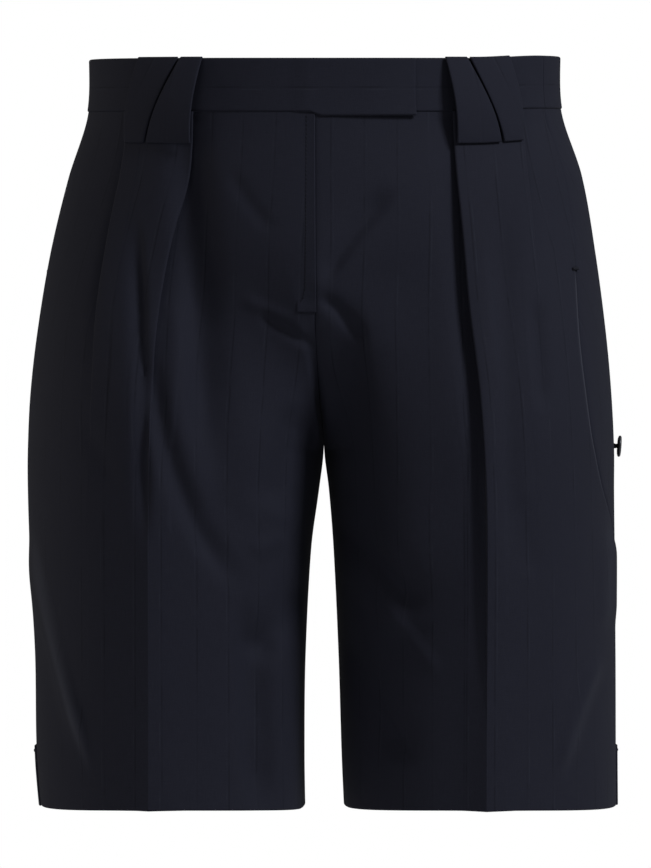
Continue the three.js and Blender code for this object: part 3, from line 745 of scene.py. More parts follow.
# %% [markdown]
# ## Front panels
#
# Each front is one cut of cloth, laid into two pleats at the waist and pressed down the middle of the
# leg. The mesh keeps it as one sheet, so the stripe disappears into a pleat and comes out of it again as
# it should. Rows are levels and columns run from the side seam to the centre. Where cloth meets cloth at
# a seam it rolls in a little, which is what makes a seam visible as a thin line.

# %% Front panels
CLOTH = 1.0
HEM_LAYERS = 2.2
HEM_TURN_UP = 45
HALF_GAP = 0.05
FINE_FRONT = table_of_folds([
    (-42, -148, -3, -172, 1, 4, 3, -2.4),
    (-54, -138, -14, -156, 1, 5, 4, 1.2),
    (-116.5, -80, -110.5, -305, 0, 6, 3, -4.5),
    (-95, -135, -77, -225, 0, 7, 9, 1.4),
    (-36, -322, -38, -440, 12, 6, 5, 1.8),
    (-190, -290, -147, -440, 0, 8, 2.5, 4),
    (-150, -214, -128, -262, 3, 7, 7, -1.2),
    (-60, -52, -30, -96, 2, 5, 5, -1.2),
    (-48, -300, -20, -292, 0, 6, 6, 1.6),
    (46, -334, 68, -352, 2, 3.4, 3.4, -1.2),
    (50, -352, 72, -378, -2, 4, 4, 1.2),
    (111, -60, 118, -335, 0, 9, 9, -3.5),
    (133, -135, 138.5, -215, 0, 4, 5, -3),
    (124, -262, 130, -318, 0, 7, 7, -1.2),
    (178, -362, 150, -440, 3, 5, 7, 2.6),
    (186, -288, 182, -352, 0, 8, 8, 2),
])
FINE_BACK = table_of_folds([
    (-30, -240, -74, -296, 5, 6, 6, -2),
    (26, -246, 70, -300, -6, 6, 6, -2),
    (-140, -120, -162, -196, 4, 9, 9, -1.6),
    (142, -112, 160, -200, -4, 9, 9, -1.6),
    (-60, -60, -30, -110, 3, 8, 8, -1.4),
    (58, -66, 34, -120, -3, 8, 8, -1.4),
    (-70, -372, -44, -420, 4, 7, 7, -1.8),
    (76, -378, 52, -428, -4, 7, 7, -1.8),
])
# Painted highlight: these fold ridges get a paler colour at the strength in the last column, and so does a
# thin line beside each front's side seam below the pocket, at each side's strength.
HIGHLIGHT_PAINT_RIDGES = table_of_folds([
    (-190, -282, -147, -445, 0, 2.6, 2.6, 0.9),
    (181, -366, 150, -448, 3, 3, 3, 0.25),
    (184, -270, 181, -360, 0, 3, 3, 0.2),
])
HIGHLIGHT_PAINT_BY_SIDE = {"right": 0.2, "left": 1.0}
HIGHLIGHT_PAINT_FROM_SEAM = 1.4
HIGHLIGHT_PAINT_END = -305
POCKET_TOP = -26
POCKET_BOTTOM = -119
MOUTH_LIFT = 0.3
BAND_EASE = 6
EDGE_STRIP = 7
FORK_EASE = 14


def rise_of_front(x, z):
    """How far the folds lift the front's surface."""
    return drape(FRONT_FOLDS, x, z) + drape(FINE_FRONT, x, z)


def under_band(z):
    """0 at the band's seam and 1 a little under it, so that sinks and folds leave no gap there."""
    return smooth((BAND_SEAM - z) / BAND_EASE)


def fade_in(z, begins, full):
    """0 above the first height and 1 below the second."""
    return smooth((begins - z) / (begins - full))


def panel_levels():
    """Heights of the rows: close where the centre seam turns under, and closest at the hem's folded
    edge."""
    t = np.linspace(0, 1, 111)
    crowded = mix(t, np.sin(t * np.pi / 2), 0.55)
    above = mix(BAND_SEAM - HALF_GAP, CROTCH, crowded)
    below = np.linspace(CROTCH, HEM + 2, 82)[1:]
    return np.concatenate([above, below, HEM + np.array([1.5, 1, 0.6, 0.3, 0.1, 0])])[:, None]


def wall_at(z):
    """Thickness of the wall: the hem is turned up inside, and its edge is a round fold."""
    doubled = mix(CLOTH, HEM_LAYERS, smooth((HEM + HEM_TURN_UP - z) / 6))
    k = np.clip(1 - (z - HEM) / (HEM_LAYERS / 2), 0, 0.97)
    return doubled, np.sqrt(1 - k * k)


def cloth_length(points):
    """How far down the cloth each row is: the mean distance from the row above, added up."""
    step = np.linalg.norm(np.diff(points, axis=0), axis=-1).mean(axis=1)
    return np.concatenate([[0], np.cumsum(step)])[:, None]


def seam_roll(distance):
    """How far the cloth rolls in at a seam: 0.9 mm at the edge, gone within a few millimetres."""
    return 0.9 * np.exp(-distance / 1.3)


def front_panel(side):
    """The front's two faces and its cloth map. Plain parts follow the body, and pleats add their own s
    and n."""
    z = panel_levels()
    unit = girth(side, z, 1)
    wall, roundness = wall_at(z)
    row = {name: column(PLEATS[side], name, z) for name in PLEAT_COLUMNS[1:]}
    below_band = under_band(z)
    row.update({name: row[name] * below_band for name in ("main_sink", "outer_sink")})
    main, outer = tau_at(side, row["main_edge"], z), tau_at(side, row["outer_edge"], z)
    start = column(SECTIONS, "seam_" + side, z) + HALF_GAP / unit
    end = 1 - HALF_GAP / unit
    main_arc, outer_arc = arc(side, main, z), arc(side, outer, z)
    strip = main_arc - outer_arc

    def plain(first, last, count, n, u):
        """Flat columns: tau from first to last, with no offset of s."""
        tau = mix(first, last, np.linspace(0, 1, count, endpoint=False)[None, :])
        height = n(tau)
        return {"tau": tau, "s": (0 * tau, 0 * tau), "n": (height, height - wall), "u": u(tau)}

    def folded(edge, name, sign):
        """A pleat's columns at an edge, mirrored and reversed where it faces the side seam."""
        under, proud, sink = (row[name + word] for word in ("_under", "_proud", "_sink"))
        made = pleat(np.maximum(under, 0), proud, sink, SINK_REACH[name], wall)
        order = slice(None, None, sign)
        s = tuple(sign * made[face][0][:, order] for face in ("out", "in"))
        n = tuple(made[face][1][:, order] for face in ("out", "in"))
        return {"tau": edge + 0 * s[0], "s": s, "n": n, "u": sign * made["cloth"][:, order]}, made["taken"]

    main_fold, main_taken = folded(main, "main", 1)
    outer_fold, taken = folded(outer, "outer", -1)
    outer_fold["u"] = outer_fold["u"] - strip
    at_side = lambda tau: -hollow((outer - tau) * unit, row["outer_sink"], SINK_REACH["outer"])
    at_centre = lambda tau: -hollow((tau - main) * unit, row["main_sink"], SINK_REACH["main"])
    between = lambda tau: mix(row["outer_proud"], row["main_proud"], smooth((tau - outer) / (main - outer)))
    beyond_outer = lambda tau: arc(side, tau, z) - outer_arc - strip - taken
    before_main = lambda tau: arc(side, tau, z) - main_arc
    beyond_main = lambda tau: arc(side, tau, z) - main_arc + main_taken
    parts = [
        plain(start, start + EDGE_STRIP / unit, 12, at_side, beyond_outer),
        plain(start + EDGE_STRIP / unit, outer - FOLD_BEYOND / unit, 22, at_side, beyond_outer),
        outer_fold,
        plain(outer + FOLD_BEFORE / unit, main - FOLD_BEFORE / unit, 14, between, before_main),
        main_fold,
        plain(main + FOLD_BEYOND / unit, end - EDGE_STRIP / unit, 56, at_centre, beyond_main),
        plain(end - EDGE_STRIP / unit, end, 12, at_centre, beyond_main),
        plain(end, end, 1, at_centre, beyond_main),
    ]
    tau, u = (np.concatenate([part[key] for part in parts], axis=1) for key in ("tau", "u"))
    pressed = fade_in(z, -150, -300)
    forked, below_fork = fade_in(z, -140, -170), fade_in(z, -215, CROTCH)
    mouth = smooth((POCKET_TOP - z) / 12) * smooth((z - POCKET_BOTTOM) / 12)
    faces = []
    for layer in (0, 1):
        s, n = (np.concatenate([part[key][layer] for part in parts], axis=1) for key in ("s", "n"))
        at_tau = tau + s / unit
        x = figure(side, at_tau, z)[..., 0]
        from_seam, from_centre = (at_tau - start) * unit, (end - at_tau) * unit
        folds = rise_of_front(x, z) * below_band * mix(1, smooth(from_centre / FORK_EASE), below_fork)
        forwards = smooth((at_tau - 0.6) / 0.25)
        rise = folds * (1 - forwards) + crease((at_tau - main) * unit, CREASE[side]) * pressed
        rise = rise + MOUTH_LIFT * mouth * np.exp(-from_seam / 8)
        rise = rise - seam_roll(from_centre) * (1 - forked) * below_band
        rise = rise - seam_roll(from_seam) * (1 - mouth) * below_band
        middle = 1 - 2 * layer
        n = n - middle * (wall / 2) * (1 - roundness)
        faces.append(place(side, at_tau, z, n + rise, HALF_GAP, folds * forwards))
        if layer == 0:
            # On the face, a mask of painted highlight: a thin line beside the side seam below the pocket, and
            # the listed ridges.
            seam_highlight_mask = smooth((POCKET_BOTTOM - z) / 12) * smooth((z - HIGHLIGHT_PAINT_END) / 20)
            seam_highlight_mask = seam_highlight_mask * np.exp(-(((from_seam - HIGHLIGHT_PAINT_FROM_SEAM) / 1.1) ** 2))
            highlight_paint = HIGHLIGHT_PAINT_BY_SIDE[side] * seam_highlight_mask + drape(HIGHLIGHT_PAINT_RIDGES, x, z)
    v = cloth_length(faces[0]) + 0 * u
    return faces[0], faces[1], np.stack([u, v], axis=-1), highlight_paint


STRIPE_FROM_CREASE = {"right": 9.9, "left": 14.2}
panels = {}
for side in SIDES:
    out, inner, uv, highlight_paint = front_panel(side)
    uv = uv - [STRIPE_FROM_CREASE[side], 0]
    piece = wall_piece("cloth_front_" + side, out, inner, uv, SUITING, highlight_paint)
    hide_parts("front_" + side)
    panels["front_" + side] = (piece, uv)
    print(piece.name, "is cut", *np.ptp(uv, axis=(0, 1)).round(), "mm")

# %% [markdown]
# ## Back panels
#
# The back is a wider cut, smooth over the seat, with its own pressed crease. It meets the front at the
# side seam and its twin at the centre back. The picture doesn't show it, so its few drag lines follow
# what a seat and a moving leg do to this cut.

# %% Back panels
def back_panel(side):
    """The back's two faces and its cloth map, from the side seam to the centre back or inseam."""
    z = panel_levels()
    unit = girth(side, z, -1)
    wall, roundness = wall_at(z)
    start = column(SECTIONS, "seam_" + side, z) - HALF_GAP / unit
    end = -1 + 0 * unit
    middle = tau_at(side, BACK_CREASE_X, z, -1)
    edge = EDGE_STRIP / unit
    stops, counts = (start, start - edge, middle, end + edge, end), (12, 56, 60, 12)
    spans = [mix(a, b, np.arange(n)[None, :] / n) for a, b, n in zip(stops, stops[1:], counts)]
    tau = np.concatenate([*spans, end], axis=1)
    x = figure(side, tau, z)[..., 0]
    from_centre, forked = (tau - end) * unit, fade_in(z, -80, -120)
    rise = (drape(BACK_FOLDS, x, z) + drape(FINE_BACK, x, z)) * smooth(-tau / 0.2)
    below_band = under_band(z)
    rise = rise * mix(1, smooth(from_centre / FORK_EASE), forked) * below_band
    rise = rise + crease((tau - middle) * unit, CREASE["back"]) * fade_in(z, -190, -320)
    rise = rise - (seam_roll((start - tau) * unit) + seam_roll(from_centre) * (1 - forked)) * below_band
    rounded = (wall / 2) * (1 - roundness)
    out, inner = (place(side, tau, z, n, HALF_GAP) for n in (rise - rounded, rise - wall + rounded))
    u = arc(side, middle, z) - arc(side, tau, z)
    return out, inner, np.stack([u, cloth_length(out) + 0 * u], axis=-1)


for side in SIDES:
    out, inner, uv = back_panel(side)
    piece = wall_piece("cloth_back_" + side, out, inner, uv - [STRIPE_PITCH / 2, 0], SUITING)
    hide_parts("back_" + side)
    panels["back_" + side] = (piece, uv)
    print(piece.name, "is cut", *np.ptp(uv, axis=(0, 1)).round(), "mm")

# %% [markdown]
# ## Waistband
#
# The band is two layers of cloth over interlining, so its edges are full and round. It's cut along the
# cloth, which is why the stripe runs round it. The wearer's right half goes on past the fly as a tab, and
# lifts over the end of the left half.

# %% Waistband
BAND_WALL = 2.4
BAND_PROUD = 0.8
BAND_IN = BAND_PROUD - BAND_WALL
TAB_LIFT = BAND_WALL + 0.3
TAB_END_X = 57
TAB_RISE = (14, 2)
TAB_FIRST_LIFT = 0.9
TAB_DROP = 2.6
BAND_STRIPE_Z = -3


def edge_steps(length, radius, count):
    """Distances from 0 to length, close together in the round edge at both ends."""
    turn = radius * (1 - np.cos(np.linspace(0, np.pi / 2, 6)))
    return np.concatenate([turn, np.linspace(radius, length - radius, count)[1:-1], length - turn[::-1]])


def edge_round(distance, radius):
    """The share of the full thickness at a distance from an edge: a quarter circle."""
    k = np.clip(1 - distance / radius, 0, 0.96)
    return np.sqrt(1 - k * k)


def band(name, runs, nodes, ends):
    """A band along runs of stations, each a side, its taus, their stand-offs and how much lower than the
    seam they hang. Its rows go from the top edge down. Its edges are round, and so are its ends, each by
    its own radius."""
    radius = BAND_WALL / 2
    down = edge_steps(BAND_TOP - BAND_SEAM - 0.15, radius, 22)[:, None]
    height = edge_round(down, radius) * edge_round(down[-1] - down, radius)
    drop = np.concatenate([run[3] for run in runs])[None, :]
    z = BAND_TOP - down * (1 + drop / down[-1])
    levels = np.split(z, np.cumsum([len(run[1]) for run in runs])[:-1], axis=1)
    middle, normal = [], []
    for (side, tau, n, _), level in zip(runs, levels):
        middle.append(place(side, tau[None, :], level, n[None, :] + radius))
        normal.append(outward(side, tau[None, :], level))
    middle, normal = np.concatenate(middle, axis=1), np.concatenate(normal, axis=1)
    along = np.linalg.norm(np.diff(middle, axis=1), axis=-1).mean(axis=0)
    u = np.concatenate([[0], np.cumsum(along)])[None, :]
    full = height * edge_round(u, ends[0]) * edge_round(u[:, -1:] - u, ends[1])
    half = radius * full[..., None] * normal
    uv = np.stack([z - BAND_STRIPE_Z + 0 * u, u + 0 * z], axis=-1)
    piece = wall_piece(name, middle + half, middle - half, uv, SUITING)
    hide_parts(*nodes)
    panels[nodes[0]] = (piece, uv)
    return piece


def band_runs():
    """Stations of the three bands, closely spaced at their ends and where the tab lifts."""
    level = np.array([0.0])
    unit = {(side, sign): girth(side, level[:, None], sign)[0, 0] for side in SIDES for sign in (1, -1)}
    seam = {side: column(SECTIONS, "seam_" + side, level)[0] for side in SIDES}

    def stations(first, last, length):
        """Taus over a length of cloth, with round-edge spacing at both ends."""
        return mix(first, last, edge_steps(length, BAND_WALL / 2, 90) / length)

    right, left = unit["right", 1], unit["left", 1]
    near, lifted = 1 - TAB_RISE[0] / right, 1 - TAB_RISE[1] / right
    first = seam["right"] + HALF_GAP / right
    tab_end = tau_at("left", np.array([TAB_END_X]), level)[0]
    body = stations(first, near, (near - first) * right)[:-5]
    t = np.linspace(0, 1, 14)
    rise = (mix(near, lifted, t), BAND_IN + TAB_FIRST_LIFT * smooth(t))
    tab = stations(1 - TAB_RISE[1] / left, tab_end, (1 - tab_end) * left)[5:]
    apart = smooth((1 - tab) / (1 - tab_end))
    tab_lift = mix(TAB_FIRST_LIFT, TAB_LIFT, apart)
    drop = TAB_DROP * smooth((1 - tab) * left / 4)
    right_runs = [
        ("right", body, BAND_IN + 0 * body, 0 * body),
        ("right", *rise, 0 * t),
        ("left", tab, BAND_IN + tab_lift, drop),
    ]
    first = seam["left"] + HALF_GAP / left
    under = stations(first, 1 - 1.5 / left, (1 - first) * left)
    sunk = (TAB_LIFT - TAB_FIRST_LIFT) * (1 - smooth((1 - under) / (1 - tab_end)))
    left_runs = [("left", under, BAND_IN - sunk, 0 * under)]
    first = seam["right"] - HALF_GAP / unit["right", -1]
    last = seam["left"] - HALF_GAP / unit["left", -1]
    one = stations(first, -1, (1 + first) * unit["right", -1])[:-5]
    two = stations(last, -1, (1 + last) * unit["left", -1])[:-5][::-1]
    back_runs = [("right", one, BAND_IN + 0 * one, 0 * one), ("left", two, BAND_IN + 0 * two, 0 * two)]
    return right_runs, left_runs, back_runs


SEAM_ROUND = 0.12
BAND_ENDS = {
    "right": (SEAM_ROUND, BAND_WALL / 2),
    "left": (SEAM_ROUND, BAND_WALL / 2),
    "back": (SEAM_ROUND, SEAM_ROUND),
}
for (word, ends), runs in zip(BAND_ENDS.items(), band_runs()):
    piece = band("band_" + word, runs, ["waistband_" + word], ends)
    print(piece.name, "is", round(np.ptp(panels["waistband_" + word][1][..., 1])), "mm long")

# %% [markdown]
# ## Strips sewn on
#
# A belt loop is a strip folded in three and stitched down at both ends, free in the middle so a belt can
# pass. In front they cross in pairs: the upper one widens downwards and the lower one narrows. The fly's
# overlap, the pocket facings and the straps at the hem are flat strips on the body's surface. One
# function makes them all from a centre surface, a thickness that is rounded off at the edges, and a
# direction.

# %% Strips
LOOP_WALL = 1.6
LOOP_TOP = BAND_TOP + 0.6
LOOP_BOTTOM = -37.5
LOOP_SEAT = 1.1
CROSSED_LOOPS = {
    "over": {"top": (75.6, 89.3), "low": (82.5, 110.3), "seat": (1.4, 3.1), "bulge": 6.2},
    "under": {"top": (91.2, 116.5), "low": (112.2, 124.5), "seat": (1.1, 2.8), "bulge": 4.4},
}
BACK_LOOPS = {"right": -72, "centre": 0, "left": 72}
BACK_LOOP_BOTTOM = -30
BACK_LOOP_BULGE = 6.6
BACK_LOOP_WIDTH = 16
CROSSED_LOOP_WIDTH = 26
STRIP_STRIPE = 5


def on_surface(x, z, n, sign):
    """Points of the front or back at a signed x, whichever side of the middle it is on."""
    middle = column(CENTRE_FRONT, "x", z) if sign > 0 else 0 * z
    ends = {side: place(side, tau_at(side, SIDES[side] * x, z, sign), z, n, 0) for side in SIDES}
    return np.where((x < middle)[..., None], ends["right"], ends["left"])


def surface_normal(x, z, sign):
    """The outward direction at a signed x of the front or back."""
    middle = column(CENTRE_FRONT, "x", z) if sign > 0 else 0 * z
    ends = {side: outward(side, tau_at(side, SIDES[side] * x, z, sign), z) for side in SIDES}
    return np.where((x < middle)[..., None], ends["right"], ends["left"])


def face_normals(points):
    """Unit normals of a grid of points, from the steps along its rows and columns."""
    down, along = np.gradient(points, axis=0), np.gradient(points, axis=1)
    return unit_vectors(np.cross(along, down))


def strip(name, middle, wall, nodes):
    """A flat strip with round edges on all four sides, from its middle surface."""
    normal = face_normals(middle)
    down = cloth_length(middle)
    along = np.linalg.norm(np.diff(middle, axis=1), axis=-1)
    across = np.concatenate([np.zeros((len(middle), 1)), np.cumsum(along, axis=1)], axis=1)
    radius = wall / 2
    full = edge_round(down, radius) * edge_round(down[-1] - down, radius)
    full = full * edge_round(across, radius) * edge_round(across[:, -1:] - across, radius)
    half = radius * full[..., None] * normal
    uv = np.stack([across + STRIP_STRIPE, down + 0 * across], axis=-1)
    piece = wall_piece(name, middle + half, middle - half, uv, SUITING)
    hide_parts(*nodes)
    panels[nodes[0]] = (piece, uv)
    return piece


def loop_surface(edges, seat, bottom, bulge, sign, width):
    """The middle surface of a loop: it runs down between two edges, and stands off in the middle as a
    sine raised to 0.8, which is flatter than an arch."""
    t = (edge_steps(LOOP_TOP - bottom, LOOP_WALL / 2, 40) / (LOOP_TOP - bottom))[:, None]
    share = (edge_steps(width, LOOP_WALL / 2, 12) / width)[None, :]
    z = mix(LOOP_TOP, bottom, t)
    x = mix(mix(edges[0], edges[1], t), mix(edges[2], edges[3], t), share)
    n = mix(seat[0], seat[1], smooth(t)) + bulge * np.sin(np.clip(t, 0, 1) * np.pi) ** 0.8 + LOOP_WALL / 2
    return on_surface(x, z + 0 * x, n + 0 * x, sign)


for side, sign in SIDES.items():
    for word, loop in CROSSED_LOOPS.items():
        (top_in, top_out), (low_in, low_out) = loop["top"], loop["low"]
        edges = [sign * x for x in (top_in, low_in, top_out, low_out)]
        surface = loop_surface(edges, loop["seat"], LOOP_BOTTOM, loop["bulge"], 1, CROSSED_LOOP_WIDTH)
        strip(f"loop_{side}_{word}", surface, LOOP_WALL, [f"belt_loop_{side}_{word}"])
for word, x in BACK_LOOPS.items():
    low, high = x - BACK_LOOP_WIDTH / 2, x + BACK_LOOP_WIDTH / 2
    edges, seat = [low, low, high, high], (LOOP_SEAT, LOOP_SEAT)
    surface = loop_surface(edges, seat, BACK_LOOP_BOTTOM, BACK_LOOP_BULGE, -1, BACK_LOOP_WIDTH)
    strip("loop_back_" + word, surface, LOOP_WALL, ["belt_loop_back_" + word])
print(len(CROSSED_LOOPS) * 2, "crossed loops and", len(BACK_LOOPS), "plain ones")

# %% [markdown]
# ## Fly, pocket facings and hem straps
#
# The fly's overlap is the right front's own folded edge, so its strip thins to nothing on that side and
# has a crisp edge on the centre line. The facings show only as cloth behind the pocket mouths. Each strap
# lies on the hem over the side seam.

# %% Flat strips
FLY = {"width": 11.5, "overlap": 0.8, "top": -17.6, "bottom": -149, "wall": 1.3}
HEM_STRAP = {"half_width": 11, "height": 36, "wall": 1.3}
STRAP_CORNER = 5
STRAP_SEAT = 0.1
STRAP_TUCK = 0.5
POCKET_HALF_WIDTH = 13
FACING_DEPTH = 2.4
FACING_WALL = 1.0


def fly_surface():
    """The middle surface of the fly's strip, from its stitched side to its free edge. Its face is level
    with the panel on the stitched side and rises to the free edge as a cube. At its foot the whole end
    stands up."""
    wall = FLY["wall"]
    length, width = FLY["top"] - FLY["bottom"], FLY["width"] + FLY["overlap"]
    z = (FLY["top"] - edge_steps(length, wall / 2, 90))[:, None]
    share = (edge_steps(width, wall / 2, 20) / width)[None, :]
    x = column(CENTRE_FRONT, "x", z) + mix(-FLY["width"], FLY["overlap"], share)
    face = mix(-0.1 + 1.1 * share**3, 0.9, smooth((FLY["bottom"] + 10 - z) / 9))
    n = rise_of_front(x, z) + face - wall / 2
    return on_surface(x, z + 0 * x, n, 1)


strip("fly", fly_surface(), FLY["wall"], ["fly_overlap"])
for side in SIDES:
    z = np.linspace(POCKET_TOP, POCKET_BOTTOM, 40)[:, None]
    reach = POCKET_HALF_WIDTH / girth(side, z, 1)
    tau = column(SECTIONS, "seam_" + side, z) + reach * np.linspace(-1, 1, 12)[None, :]
    surface = place(side, tau, z, -FACING_DEPTH + 0 * tau)
    strip("facing_" + side, surface, FACING_WALL, ["pocket_facing_" + side])
    wall = HEM_STRAP["wall"]
    down = edge_steps(HEM_STRAP["height"], wall / 2, 30)[:, None]
    z = HEM + HEM_STRAP["height"] - down
    corner = np.sqrt(1 - np.clip(1 - down / STRAP_CORNER, 0, 1) ** 2)
    reach = (HEM_STRAP["half_width"] - 3 * (1 - corner)) / girth(side, z, 1)
    half = HEM_STRAP["half_width"]
    share = edge_steps(2 * half, wall / 2, 18)[None, :] / half - 1
    tau = column(SECTIONS, "seam_" + side, z) + reach * share
    surface = place(side, tau, z, STRAP_SEAT + wall / 2 - STRAP_TUCK * share**4 + 0 * z)
    strip("strap_" + side, surface, wall, ["hem_strap_" + side])
print("fly, facings and straps are on")

# %% [markdown]
# ## Buttons
#
# A four-hole horn button sits behind each side seam on a thread shank. It's a turned disc: a profile of
# radius and height spun round an axis, with four soft pits for the holes, and thread across them.

# %% Buttons
BUTTON = {"radius": 7, "shank": 2.3, "wall": 2.2, "hole": 1.0, "hole_from_centre": 2.4, "z": -233.7}
BUTTON_BEHIND_SEAM = 0.19
HOLE_DEPTH = 1.1
BUTTON_DROOP = 0.1


def button_frame(side):
    """Where the button's foot is, its axis and two directions across it."""
    level = np.array(BUTTON["z"])
    tau = column(SECTIONS, "seam_" + side, level) - BUTTON_BEHIND_SEAM
    foot = place(side, tau, level, 0.3)
    axis = unit_vectors(outward(side, tau, level) - [0, 0, BUTTON_DROOP])
    right = unit_vectors(np.cross(axis, [0, 0, 1]))
    return foot, axis, right, np.cross(axis, right)


def spun(frame, radius, height, angle):
    """Points at a radius, a height along the axis and an angle round it."""
    foot, axis, right, up = frame
    radius, height, angle = np.broadcast_arrays(radius, height, angle)
    out = (radius * np.cos(angle))[..., None] * right + (radius * np.sin(angle))[..., None] * up
    return foot + out + height[..., None] * axis


def turn_steps(count):
    """Angles all round, as one row."""
    return np.linspace(0, 2 * np.pi, count, endpoint=False)[None, :]


FACE_HEIGHT = 1.43
FACE_RINGS = (3.6, 3.3, 3, 2.7, 2.4, 2.1, 1.8, 1.5, 1.2, 0.8, 0.4, 0.04)
RIM = [
    (0.04, 0), (2, 0), (4, 0), (5.4, 0.05), (6.4, 0.35), (6.9, 0.8), (7, 1.15), (6.9, 1.6), (6.6, 2.0),
    (6.2, 2.2), (5.7, 2.15), (5.3, 1.9), (5, 1.62), (4.6, 1.48), (4, FACE_HEIGHT),
]
profile = np.array(RIM + [(radius, FACE_HEIGHT) for radius in FACE_RINGS])
round_angle = turn_steps(48)
for side in SIDES:
    frame_here = button_frame(side)
    radius, height = profile[:, :1], BUTTON["shank"] + profile[:, 1:]
    hole = np.pi / 4 + np.round((round_angle - np.pi / 4) / (np.pi / 2)) * np.pi / 2
    hole_at = BUTTON["hole_from_centre"]
    away_x = radius * np.cos(round_angle) - hole_at * np.cos(hole)
    away_y = radius * np.sin(round_angle) - hole_at * np.sin(hole)
    near = smooth((BUTTON["hole"] - np.hypot(away_x, away_y)) / 0.4)
    pit = np.where(height > BUTTON["shank"] + 1, HOLE_DEPTH * near, 0)
    turned = spun(frame_here, radius, height - pit, round_angle)
    disc = tube_piece("horn_button_" + side, turned, HORN)
    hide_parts("button_" + side)
    rise = np.linspace(-0.6, 3.2, 16)[:, None]
    turn = turn_steps(24)
    cord = 1.25 + 0.22 * np.cos(5 * turn - 2.2 * rise) + 0.3 * (1 - rise / 3) ** 2
    tube_piece("button_shank_" + side, spun(frame_here, cord, rise, turn), THREAD)
    for i, slant in enumerate((1, -1)):
        s = np.linspace(-1, 1, 9)[:, None]
        small = turn_steps(8)
        foot, axis, right, up = frame_here
        along = unit_vectors(right + slant * up)
        cross = np.cross(axis, along)
        lift = BUTTON["shank"] + 1.5 + 0.45 * np.sqrt(np.maximum(0, 1 - s**2)) - 0.5 * s**8
        line = foot + hole_at * s[..., None] * along + lift[..., None] * axis
        ring = 0.36 * (np.cos(small)[..., None] * cross + np.sin(small)[..., None] * axis)
        tube_piece(f"button_thread_{side}_{i}", line + ring, THREAD)
print("buttons are on")

# %% [markdown]
# ## Stitches
#
# Where the machine shows: one row beside the fly's edge that turns into its hook, and bar tacks at the
# lower ends of the pockets and on the hem straps. A stitch is a short thick thread whose ends dive into
# the cloth, and a row of them is one mesh, made from arrays of centres and directions.

# %% Stitches
TACK_PITCH = 0.45
TACK_RADIUS = 0.28


def stitches(name, centre, along, normal, length, radius):
    """Capsules as one mesh: four rings of six points each, lower at their ends. Centres, directions and
    normals are arrays with one row for each stitch."""
    along, normal = unit_vectors(along), unit_vectors(normal)
    cross = unit_vectors(np.cross(normal, along))
    position = np.array([-0.5, -0.33, 0.33, 0.5])[None, :, None, None] * length
    size = np.array([0.4, 1, 1, 0.4])[None, :, None, None] * radius
    depth = np.array([-1, 0.2, 0.2, -1])[None, :, None, None] * radius
    angle = (np.arange(6) * np.pi / 3)[None, None, :, None]
    pick = (slice(None), None, None, slice(None))
    points = centre[pick] + position * along[pick] + size * np.cos(angle) * cross[pick]
    points = points + (size * np.sin(angle) + depth) * normal[pick]
    caps = np.array([[0, 1, 4, 5], [1, 2, 3, 4], [23, 22, 19, 18], [22, 21, 20, 19]])
    faces = np.concatenate([tube_faces(np.arange(24).reshape(4, 6)), caps])
    faces = (faces[None] + 24 * np.arange(len(centre))[:, None, None]).reshape(-1, 4)
    piece = new_mesh(name, points, faces, THREAD)
    return piece


def row_on_front(name, line, pitch, length, radius, n):
    """A row of stitches along a line of x and z on the front, n above the folds."""
    line = np.asarray(line, float)
    gone = np.concatenate([[0], np.cumsum(np.linalg.norm(np.diff(line, axis=0), axis=-1))])
    at = np.arange(pitch / 2, gone[-1], pitch)

    def points(step):
        """x, z and the points on the cloth, a step further along the line."""
        x, z = (np.interp(at + step, gone, line[:, k]) for k in (0, 1))
        return x, z, on_surface(x, z, rise_of_front(x, z) + n, 1)

    x, z, here = points(0)
    return stitches(name, here, points(0.2)[2] - here, surface_normal(x, z, 1), length, radius)


def bar_tack(name, centre, along, normal, width, height):
    """A bar tack: stitches laid close side by side across a short bar."""
    count = int(width / TACK_PITCH)
    step = (np.linspace(-0.5, 0.5, count) * width)[:, None] * unit_vectors(along)
    same = np.ones((count, 1))
    up = np.cross(unit_vectors(normal), unit_vectors(along))
    return stitches(name, centre + step, same * up, same * normal, height, TACK_RADIUS)


print("stitch makers are ready")

# %% Sewing the rows
FLY_LINE = [(-10.9, -18.5), (-11.2, -90), (-11.6, -132), (-13, -140), (-16, -144)]
STRAP_TACK_Z = HEM + HEM_STRAP["height"] - 3.0
TACKS = {
    "tack_pocket_": {"z": POCKET_BOTTOM - 1.0, "beside_seam": 2.5, "n": 1.0, "width": 6, "height": 2.2},
    "tack_strap_": {"z": STRAP_TACK_Z, "beside_seam": 0, "n": 1.6, "width": 7, "height": 2},
}
row_on_front("stitches_fly", FLY_LINE, 2.6, 2.1, 0.2, 0.25)
for side in SIDES:
    for word, tack in TACKS.items():
        z = np.array([tack["z"]])
        tau = column(SECTIONS, "seam_" + side, z) + tack["beside_seam"] / girth(side, z, 1)[:, 0]
        here, normal = place(side, tau, z, tack["n"]), outward(side, tau, z)
        around = place(side, tau + 0.01, z, tack["n"]) - here
        bar_tack(word + side, here, around, normal, tack["width"], tack["height"])
print("sewn")

# %% [markdown]
# ## Sizes of the cut cloth
#
# Each piece's size and area are printed as the sheet that it was cut as, before it was pleated, pressed and
# hung.

for node, (piece, uv) in panels.items():
    across, down = np.ptp(uv[..., 0]) * MM, np.ptp(uv[..., 1]) * MM
    e1, e2 = uv[1:, 1:] - uv[:-1, :-1], uv[1:, :-1] - uv[:-1, 1:]
    area = abs(e1[..., 0] * e2[..., 1] - e1[..., 1] * e2[..., 0]).sum() / 2 * MM**2
    print(node, round(across, 3), round(down, 3), round(area, 4))

# %% [markdown]
# ## Light and floor
#
# White paper all round gives the soft light, and a large lamp on the right and in front gives the folds
# their form. The floor is a pale disc under the hems.

# %% Light
PAPER = 1.0
ROOM = 0.13
MIDDLE_Z = -0.2
FLOOR_Z = -0.62
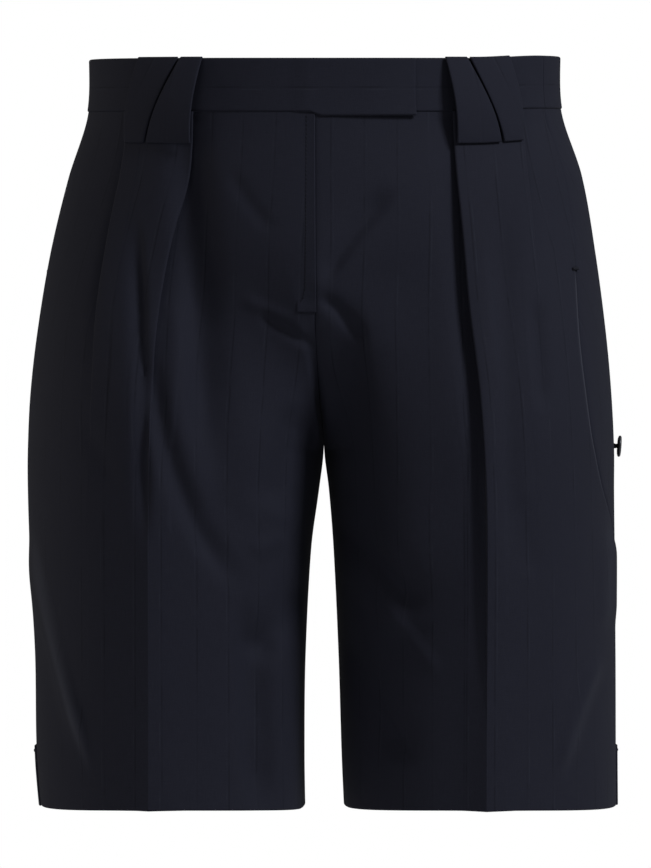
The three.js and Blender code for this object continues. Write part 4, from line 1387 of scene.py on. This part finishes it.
# name, azimuth, height, distance, size, share of the light, colour
LAMPS = [
    ("key", 55, 1.6, 2.3, 0.7, 0.6, (0.88, 0.92, 1.0)),
    ("fill", -30, 0.8, 2.8, 1.4, 0.07, (1.0, 0.97, 0.93)),
    ("edge_left", -100, 0.2, 2.0, 1.2, 0.16, (1.0, 0.95, 0.88)),
    ("edge_right", 112, 0.2, 2.0, 1.2, 0.03, (0.93, 0.97, 1.0)),
]
world = bpy.data.worlds.new("studio")
world.use_nodes = True
seen = world.node_tree.nodes.new("ShaderNodeLightPath").outputs["Is Camera Ray"]
level = world.node_tree.nodes.new("ShaderNodeMapRange")
level.inputs["To Min"].default_value = ROOM
level.inputs["To Max"].default_value = PAPER
world.node_tree.links.new(seen, level.inputs["Value"])
background = world.node_tree.nodes["Background"]
background.inputs["Color"].default_value = (1, 1, 1, 1)
world.node_tree.links.new(level.outputs["Result"], background.inputs["Strength"])
scene.world = world


def lamp(name, location, size, power, colour):
    """A square area lamp that looks at the middle of the garment."""
    light = bpy.data.lights.new(name, "AREA")
    light.size = size
    light.energy = power
    light.color = colour
    made = bpy.data.objects.new(name, light)
    made.location = location
    away = made.location.copy()
    away.z -= MIDDLE_Z
    made.rotation_euler = away.to_track_quat("Z", "Y").to_euler()
    scene.collection.objects.link(made)


for name, azimuth, height, distance, size, share, colour in LAMPS:
    a = np.radians(azimuth)
    location = (distance * np.sin(a), -distance * np.cos(a), height)
    reach = distance**2 + (height - MIDDLE_Z) ** 2
    lamp(name, location, size, share * np.pi**2 * reach, colour)

disc = bpy.data.meshes.new("floor")
turn = np.linspace(0, 2 * np.pi, 96, endpoint=False)
rim = np.stack([np.cos(turn), np.sin(turn), 0 * turn + FLOOR_Z], axis=-1)
disc.from_pydata(rim.tolist(), [], [list(range(96))])
disc.materials.append(floor_paint("floor"))
floor = bpy.data.objects.new("floor", disc)
scene.collection.objects.link(floor)
print("lit")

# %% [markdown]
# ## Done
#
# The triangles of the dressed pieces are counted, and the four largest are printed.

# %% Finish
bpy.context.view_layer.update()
triangles = {o.name: 2 * len(o.data.polygons) for o in scene.objects if o.type == "MESH" and not o.hide_render}
print(sum(triangles.values()), "triangles;", sorted(triangles.items(), key=lambda item: -item[1])[:4])
